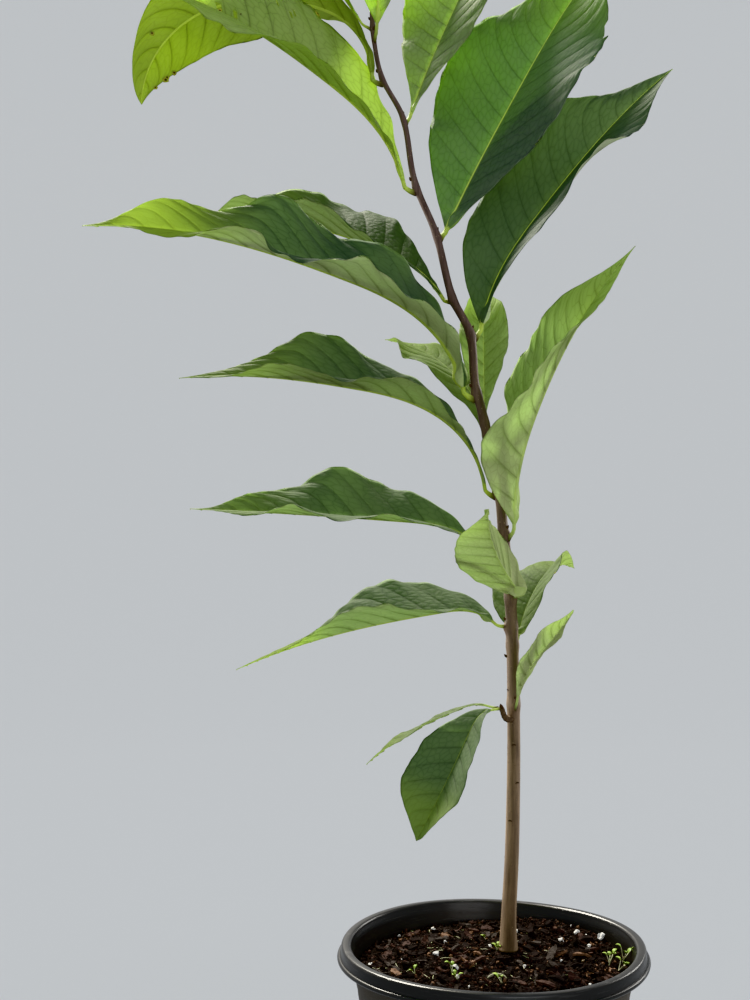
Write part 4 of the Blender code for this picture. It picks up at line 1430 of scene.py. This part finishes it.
def make_soil(coat):
    """The potting mix's crumbly top and the plug below it."""
    edge = pot_wall_radius(SOIL_EDGE_HEIGHT) - POT_WALL - SOIL_SLACK
    rings = math.ceil(edge / SOIL_CELL)
    vertices = [(0.0, 0.0, soil_height(0.0, 0.0))]
    for ring in range(1, rings + 1):
        vertices += [(x, y, soil_height(x, y)) for x, y in circle(edge * ring / rings, SOIL_SIDES)]
    profile = [(0.150, 0.0), (0.143, 0.0), (0.136, 0.0), (0.128, 0.0), (0.060, 0.0),
               (POT_WALL + 0.004, 0.0), (POT_WALL + GAP, 0.0035)]
    for z, inset in profile:
        radius = pot_wall_radius(z) - POT_WALL - SOIL_SLACK - inset
        vertices += [(x, y, z) for x, y in circle(radius, SOIL_SIDES)]
    vertices.append((0.0, 0.0, POT_WALL + GAP))
    rings += len(profile) - 1
    faces = disc_faces(rings, SOIL_SIDES)
    last = 1 + rings * SOIL_SIDES
    faces += [(last + (side + 1) % SOIL_SIDES, last + side, len(vertices) - 1)
              for side in range(SOIL_SIDES)]
    dress(mesh_object("potting_mix", vertices, faces, [coat]), "soil")


def chip_shape(chance, length, width, thick):
    """A flat splinter of bark: torn ends, ragged sides, a slight bend and two rough faces."""
    steps = 7
    points = []
    bend = chance.uniform(-0.16, 0.22) * length
    skew = chance.uniform(-0.25, 0.25)
    seed = chance.uniform(0.0, 90.0)
    ends = (chance.uniform(0.15, 0.75), chance.uniform(0.15, 0.75))
    for step in range(steps + 1):
        share = step / steps
        taper = min(1.0, ends[0] + 2.6 * share, ends[1] + 2.6 * (1.0 - share))
        for column in range(4):
            across = (column - 1.5) / 1.5
            rough = noise.noise(Vector((step * 0.9, column * 1.7, seed)))
            edge = 1.0 + 0.45 * rough if column in (0, 3) else 1.0
            torn = 0.0
            if step in (0, steps):
                torn = 0.14 * length * noise.noise(Vector((column * 2.3, seed, share * 9.0)))
            x = (share - 0.5) * length + torn + skew * across * width * 0.5
            y = 0.5 * width * taper * across * edge
            z = bend * (4.0 * (share - 0.5) ** 2 - 0.5) + thick * 0.55 * rough
            points.append(Vector((x, y, z)))
    top = [point + Vector((0.0, 0.0, 0.5 * thick)) for point in points]
    low = [point * 0.94 - Vector((0.0, 0.0, 0.5 * thick)) for point in points]
    faces = []
    count = len(top)
    for step in range(steps):
        for column in range(3):
            a = step * 4 + column
            faces.append((a, a + 4, a + 5, a + 1))
            faces.append((a + count, a + 1 + count, a + 5 + count, a + 4 + count))
        for a, b in ((step * 4, step * 4 + 4), (step * 4 + 7, step * 4 + 3)):
            faces.append((a, a + count, b + count, b))
    for column in range(3):
        a, b = column, steps * 4 + column
        faces.append((a, a + 1, a + 1 + count, a + count))
        faces.append((b + 1, b, b + count, b + 1 + count))
    return top + low, faces


def free_of_trunk(x, y, reach):
    """Whether a place on the potting mix is clear of the trunk's foot."""
    foot = trunk_centre(TRUNK_FOOT)
    return math.hypot(x - foot.x, y - foot.y) > reach + trunk_radius(TRUNK_FOOT)


def soil_place(chance, size):
    """A random place on the potting mix where a piece of that size fits."""
    edge = pot_wall_radius(SOIL_EDGE_HEIGHT) - POT_WALL - 0.0005
    while True:
        radius = (edge - 0.9 * size) * math.sqrt(chance.random())
        angle = chance.uniform(0.0, math.tau)
        x, y = radius * math.cos(angle), radius * math.sin(angle)
        if free_of_trunk(x, y, 0.6 * size):
            return x, y


def lay(chance, shape, x, y, sink, tilt):
    """A shape's vertices turned at random, mostly flat, and set into the potting mix."""
    turn = Matrix.Rotation(chance.uniform(0.0, math.tau), 3, "Z")
    turn = turn @ Matrix.Rotation(chance.gauss(0.0, tilt), 3, "Y")
    turn = turn @ Matrix.Rotation(chance.gauss(0.0, tilt), 3, "X")
    turned = [turn @ vertex for vertex in shape]
    rise = soil_height(x, y) - min(vertex.z for vertex in turned) * sink
    return [vertex + Vector((x, y, rise)) for vertex in turned]


def make_chips(coats):
    """Bark chips and crumbs of several browns, laid over the potting mix."""
    chance = random.Random(CHIP_SEED)
    heap = Heap()
    for _ in range(CHIPS):
        length = 0.0014 + 0.0100 * chance.random() ** 3.6
        width = min(length * chance.uniform(0.22, 0.62), CHIP_WIDTH_MOST)
        thick = min(length * chance.uniform(0.10, 0.30), CHIP_THICK_MOST)
        x, y = soil_place(chance, length)
        shape, faces = chip_shape(chance, length, width, thick)
        slot = chance.choices(range(len(coats)), weights=CHIP_SHARES)[0]
        heap.add(lay(chance, shape, x, y, chance.uniform(0.1, 0.9), 0.22), faces, slot)
    heap.place("bark_chips", coats, "soil", smooth=False)
    heap = Heap()
    vertices, faces = ball(1)
    for number in range(CRUMBS):
        size = 0.00025 + 0.0011 * chance.random() ** 1.8
        x, y = soil_place(chance, size)
        shape = []
        for vertex in vertices:
            rough = 1.0 + 0.3 * noise.noise(vertex * 1.7 + Vector((number, 0.0, 0.0)))
            flat = Vector((vertex.x * size, vertex.y * size * 0.8, vertex.z * size * 0.7))
            shape.append(flat * rough)
        slot = chance.choices(range(len(coats)), weights=CRUMB_SHARES)[0]
        heap.add(lay(chance, shape, x, y, chance.uniform(0.1, 0.9), 0.8), faces, slot)
    heap.place("soil_crumbs", coats, "soil", smooth=False)


def make_perlite(coat):
    """White grains of perlite, the large ones where they show best."""
    chance = random.Random(PERLITE_SEED)
    heap = Heap()
    spots = [(*soil_under(px, py), size) for px, py, size in GRAINS]
    for _ in range(PERLITE):
        size = chance.uniform(*GRAIN_SIZES)
        spots.append((*soil_place(chance, size), size))
    vertices, faces = ball(2)
    for x, y, size in spots:
        seed = Vector((x * 900.0, y * 900.0, 3.0))
        shape = []
        for vertex in vertices:
            rough = 1.0 + 0.70 * noise.noise(vertex * 1.3 + seed)
            rough += 0.45 * noise.noise(vertex * 2.9 + seed)
            shape.append(vertex * (size * rough))
        heap.add(lay(chance, shape, x, y, 0.62, 0.6), faces)
    heap.place("perlite", [coat], "soil", smooth=False)


def soil_under(px, py):
    """The place on the potting mix that a pixel of the photograph looks at, inside the pot."""
    height = SOIL_HEIGHT
    for _ in range(6):
        depth = FOCAL_PIXELS * (CAMERA_PLACE[2] - height) / (py - 0.5 * PHOTO_HIGH)
        x = (px - 0.5 * PHOTO_WIDE) / FOCAL_PIXELS * depth + CAMERA_PLACE[0]
        y = depth + CAMERA_PLACE[1]
        inside = min(1.0, SOIL_REACH / math.hypot(x, y))
        x, y = x * inside, y * inside
        height = soil_height(x, y)
    return x, y


def tiny_leaf(base, way, up, length, width):
    """A seed leaf: a small cupped blade of two rows of faces, thick enough to close."""
    side = way.cross(up).normalized()
    rows, vertices = 7, []
    for row in range(rows + 1):
        share = row / rows
        half = width * math.sin(math.pi * min(1.0, share ** 0.8 * 0.98 + 0.02)) ** 0.7 * 0.5
        point = base + way * length * share + up * length * (0.18 * math.sin(math.pi * share))
        for place in (-1.0, 0.0, 1.0):
            vertices.append(point + side * half * place + up * abs(place) * half * 0.35)
    top = len(vertices)
    vertices += [vertex - up * 0.00018 for vertex in vertices]
    faces = []
    for row in range(rows):
        for column in range(2):
            a = row * 3 + column
            faces.append((a, a + 1, a + 4, a + 3))
            faces.append((top + a, top + a + 3, top + a + 4, top + a + 1))
        a, b = row * 3, row * 3 + 2
        faces.append((a, a + 3, top + a + 3, top + a))
        faces.append((top + b, top + b + 3, b + 3, b))
    end = rows * 3
    faces.append((0, 1, 2, top + 2, top + 1, top))
    faces.append((top + end, top + end + 1, top + end + 2, end + 2, end + 1, end))
    return vertices, faces


def make_seedlings(green, pale):
    """Weed seedlings with a few small leaves, where the photograph has them."""
    chance = random.Random(SEEDLING_SEED)
    heap = Heap()
    for px, py, tall, leaves in SEEDLINGS:
        x, y = soil_under(px, py)
        base = Vector((x, y, soil_height(x, y) - 0.001))
        lean = Vector((chance.gauss(0, 0.25), chance.gauss(0, 0.25), 1.0)).normalized()
        for number in range(leaves):
            turn = azimuth_vector(137.5 * number + chance.uniform(-25, 25) + px)
            height = tall * chance.uniform(0.7, 1.05)
            stem_way = (lean + turn * 0.42).normalized()
            stem = [base + lean * height * 0.35 * step / 3 for step in range(3)]
            stem += [stem[-1] + stem_way * height * 0.6 * step / 4 for step in range(1, 5)]
            heap.add(*tube(stem, [STEM_RADIUS - 0.00002 * step for step in range(7)], 6), 1)
            way = (turn + Vector((0, 0, 0.55))).normalized()
            up = (Vector((0, 0, 1)) - way * way.z).normalized()
            long = chance.uniform(0.0028, 0.0044) * (0.75 + 25.0 * tall)
            heap.add(*tiny_leaf(stem[-1], way, up, long, long * 0.62))
    heap.place("seedlings", [green, pale], "soil")
    make_rootlets(chance, pale)


def make_rootlets(chance, pale):
    """The arched pale root that the photograph shows, and fine ones lying on the mix."""
    root = Heap()
    x, y = soil_under(*ROOT_PIXEL)
    foot = soil_height(x, y) + 0.0008
    line = []
    for step in range(15):
        angle = math.radians(160 - 10 * step)
        rise = ROOT_RISE * math.sin(angle)
        line.append(Vector((x + ROOT_REACH * math.cos(angle), y, foot + rise)))
    root.add(*tube(line, [ROOT_RADIUS] * 15, 8))
    for _ in range(ROOTLETS):
        x, y = soil_place(chance, 0.006)
        heading = chance.uniform(0.0, 360.0)
        bend = chance.uniform(-40.0, 40.0)
        span = chance.uniform(0.003, 0.009)
        line, point = [], Vector((x, y, 0.0))
        for step in range(7):
            point = point + azimuth_vector(heading + bend * step / 6) * span / 6
            if math.hypot(point.x, point.y) > SOIL_REACH:
                break
            line.append(Vector((point.x, point.y, soil_height(point.x, point.y) + 0.0008)))
        if len(line) > 2:
            root.add(*tube(line, [ROOTLET_RADIUS] * len(line), 6))
    root.place("rootlets", [pale], "soil")


# Stage, light and camera

def make_stage():
    """A pale round floor that curves up into a wall, open at the top."""
    profile = [(0.4, 0.0), (STAGE_FLOOR, 0.0)]
    profile += arc((STAGE_FLOOR, STAGE_BEND), STAGE_BEND, -90, 0, 24)[1:]
    profile += [(STAGE_FLOOR + STAGE_BEND, STAGE_WALL)]
    vertices = [(0.0, 0.0, -STAGE_DROP)]
    for radius, z in profile:
        vertices += [(x, y, z - STAGE_DROP) for x, y in circle(radius, STAGE_SIDES)]
    s = Shading("backdrop")
    s.set(Base_Color=STAGE_GREY, Roughness=0.9, Emission_Color=STAGE_GLOW, Emission_Strength=1.0)
    faces = disc_faces(len(profile) - 1, STAGE_SIDES)
    mesh_object("backdrop", vertices, faces, [s.material])


def make_lamp(name, place, size, power, colour, unlit, only):
    """A soft square lamp that isn't seen, and that lights all but some pieces, or only some."""
    lamp = bpy.data.lights.new(name, "AREA")
    lamp.shape = "SQUARE"
    lamp.size = size
    lamp.energy = power
    lamp.color = colour
    made = bpy.data.objects.new(name, lamp)
    bpy.context.scene.collection.objects.link(made)
    made.location = place
    made.rotation_euler = (Vector(LAMP_AIM) - Vector(place)).to_track_quat("-Z", "Y").to_euler()
    made.visible_camera = False
    if unlit or only:
        lit = bpy.data.collections.new(name + "_lights")
        made.light_linking.receiver_collection = lit
        for item in unlit + only:
            lit.objects.link(bpy.data.objects[item])
        for member in lit.collection_objects:
            member.light_linking.link_state = "EXCLUDE" if unlit else "INCLUDE"


def make_light():
    """A warm soft lamp above and behind on the left, cooler light in front, and a pale sky."""
    for lamp in LAMPS:
        make_lamp(*lamp)
    world = bpy.data.worlds.new("studio")
    world.use_nodes = True
    sky = world.node_tree.nodes["Background"]
    sky.inputs["Color"].default_value = SKY
    sky.inputs["Strength"].default_value = SKY_STRENGTH
    bpy.context.scene.world = world


def make_camera():
    """The photograph's camera: level, looking straight away from the viewer."""
    lens = bpy.data.cameras.new("camera")
    lens.sensor_width = SENSOR
    lens.lens = FOCAL_PIXELS / PHOTO_HIGH * SENSOR
    lens.clip_start = 0.01
    lens.clip_end = 50.0
    camera = bpy.data.objects.new("camera", lens)
    bpy.context.scene.collection.objects.link(camera)
    camera.location = CAMERA_PLACE
    camera.rotation_euler = (0.5 * math.pi, 0.0, 0.0)
    bpy.context.scene.camera = camera


def main():
    """Dress the frame, light it and set the camera."""
    bpy.context.scene.view_settings.view_transform = "Khronos PBR Neutral"
    make_camera()
    make_stage()
    tones = leaf_tones()
    for leaf in LEAVES:
        make_leaf(leaf, tones)
    make_trunk(bark_coat())
    make_light()
    bud = plain_coat("bud_coat")
    make_spur(plain_coat("spur_coat"), bud)
    make_buds(bud)
    make_spots(bud, plain_coat("halo_coat"))
    make_lenticels(plain_coat("pore_coat"))
    make_scars(plain_coat("scar_coat"))
    make_pot(pot_coat())
    make_soil(plain_coat("mix_coat"))
    make_chips([plain_coat(name) for name in CHIP_COATS])
    make_perlite(plain_coat("perlite_coat"))
    make_seedlings(plain_coat("seedling_green"), plain_coat("seedling_stem"))


main()
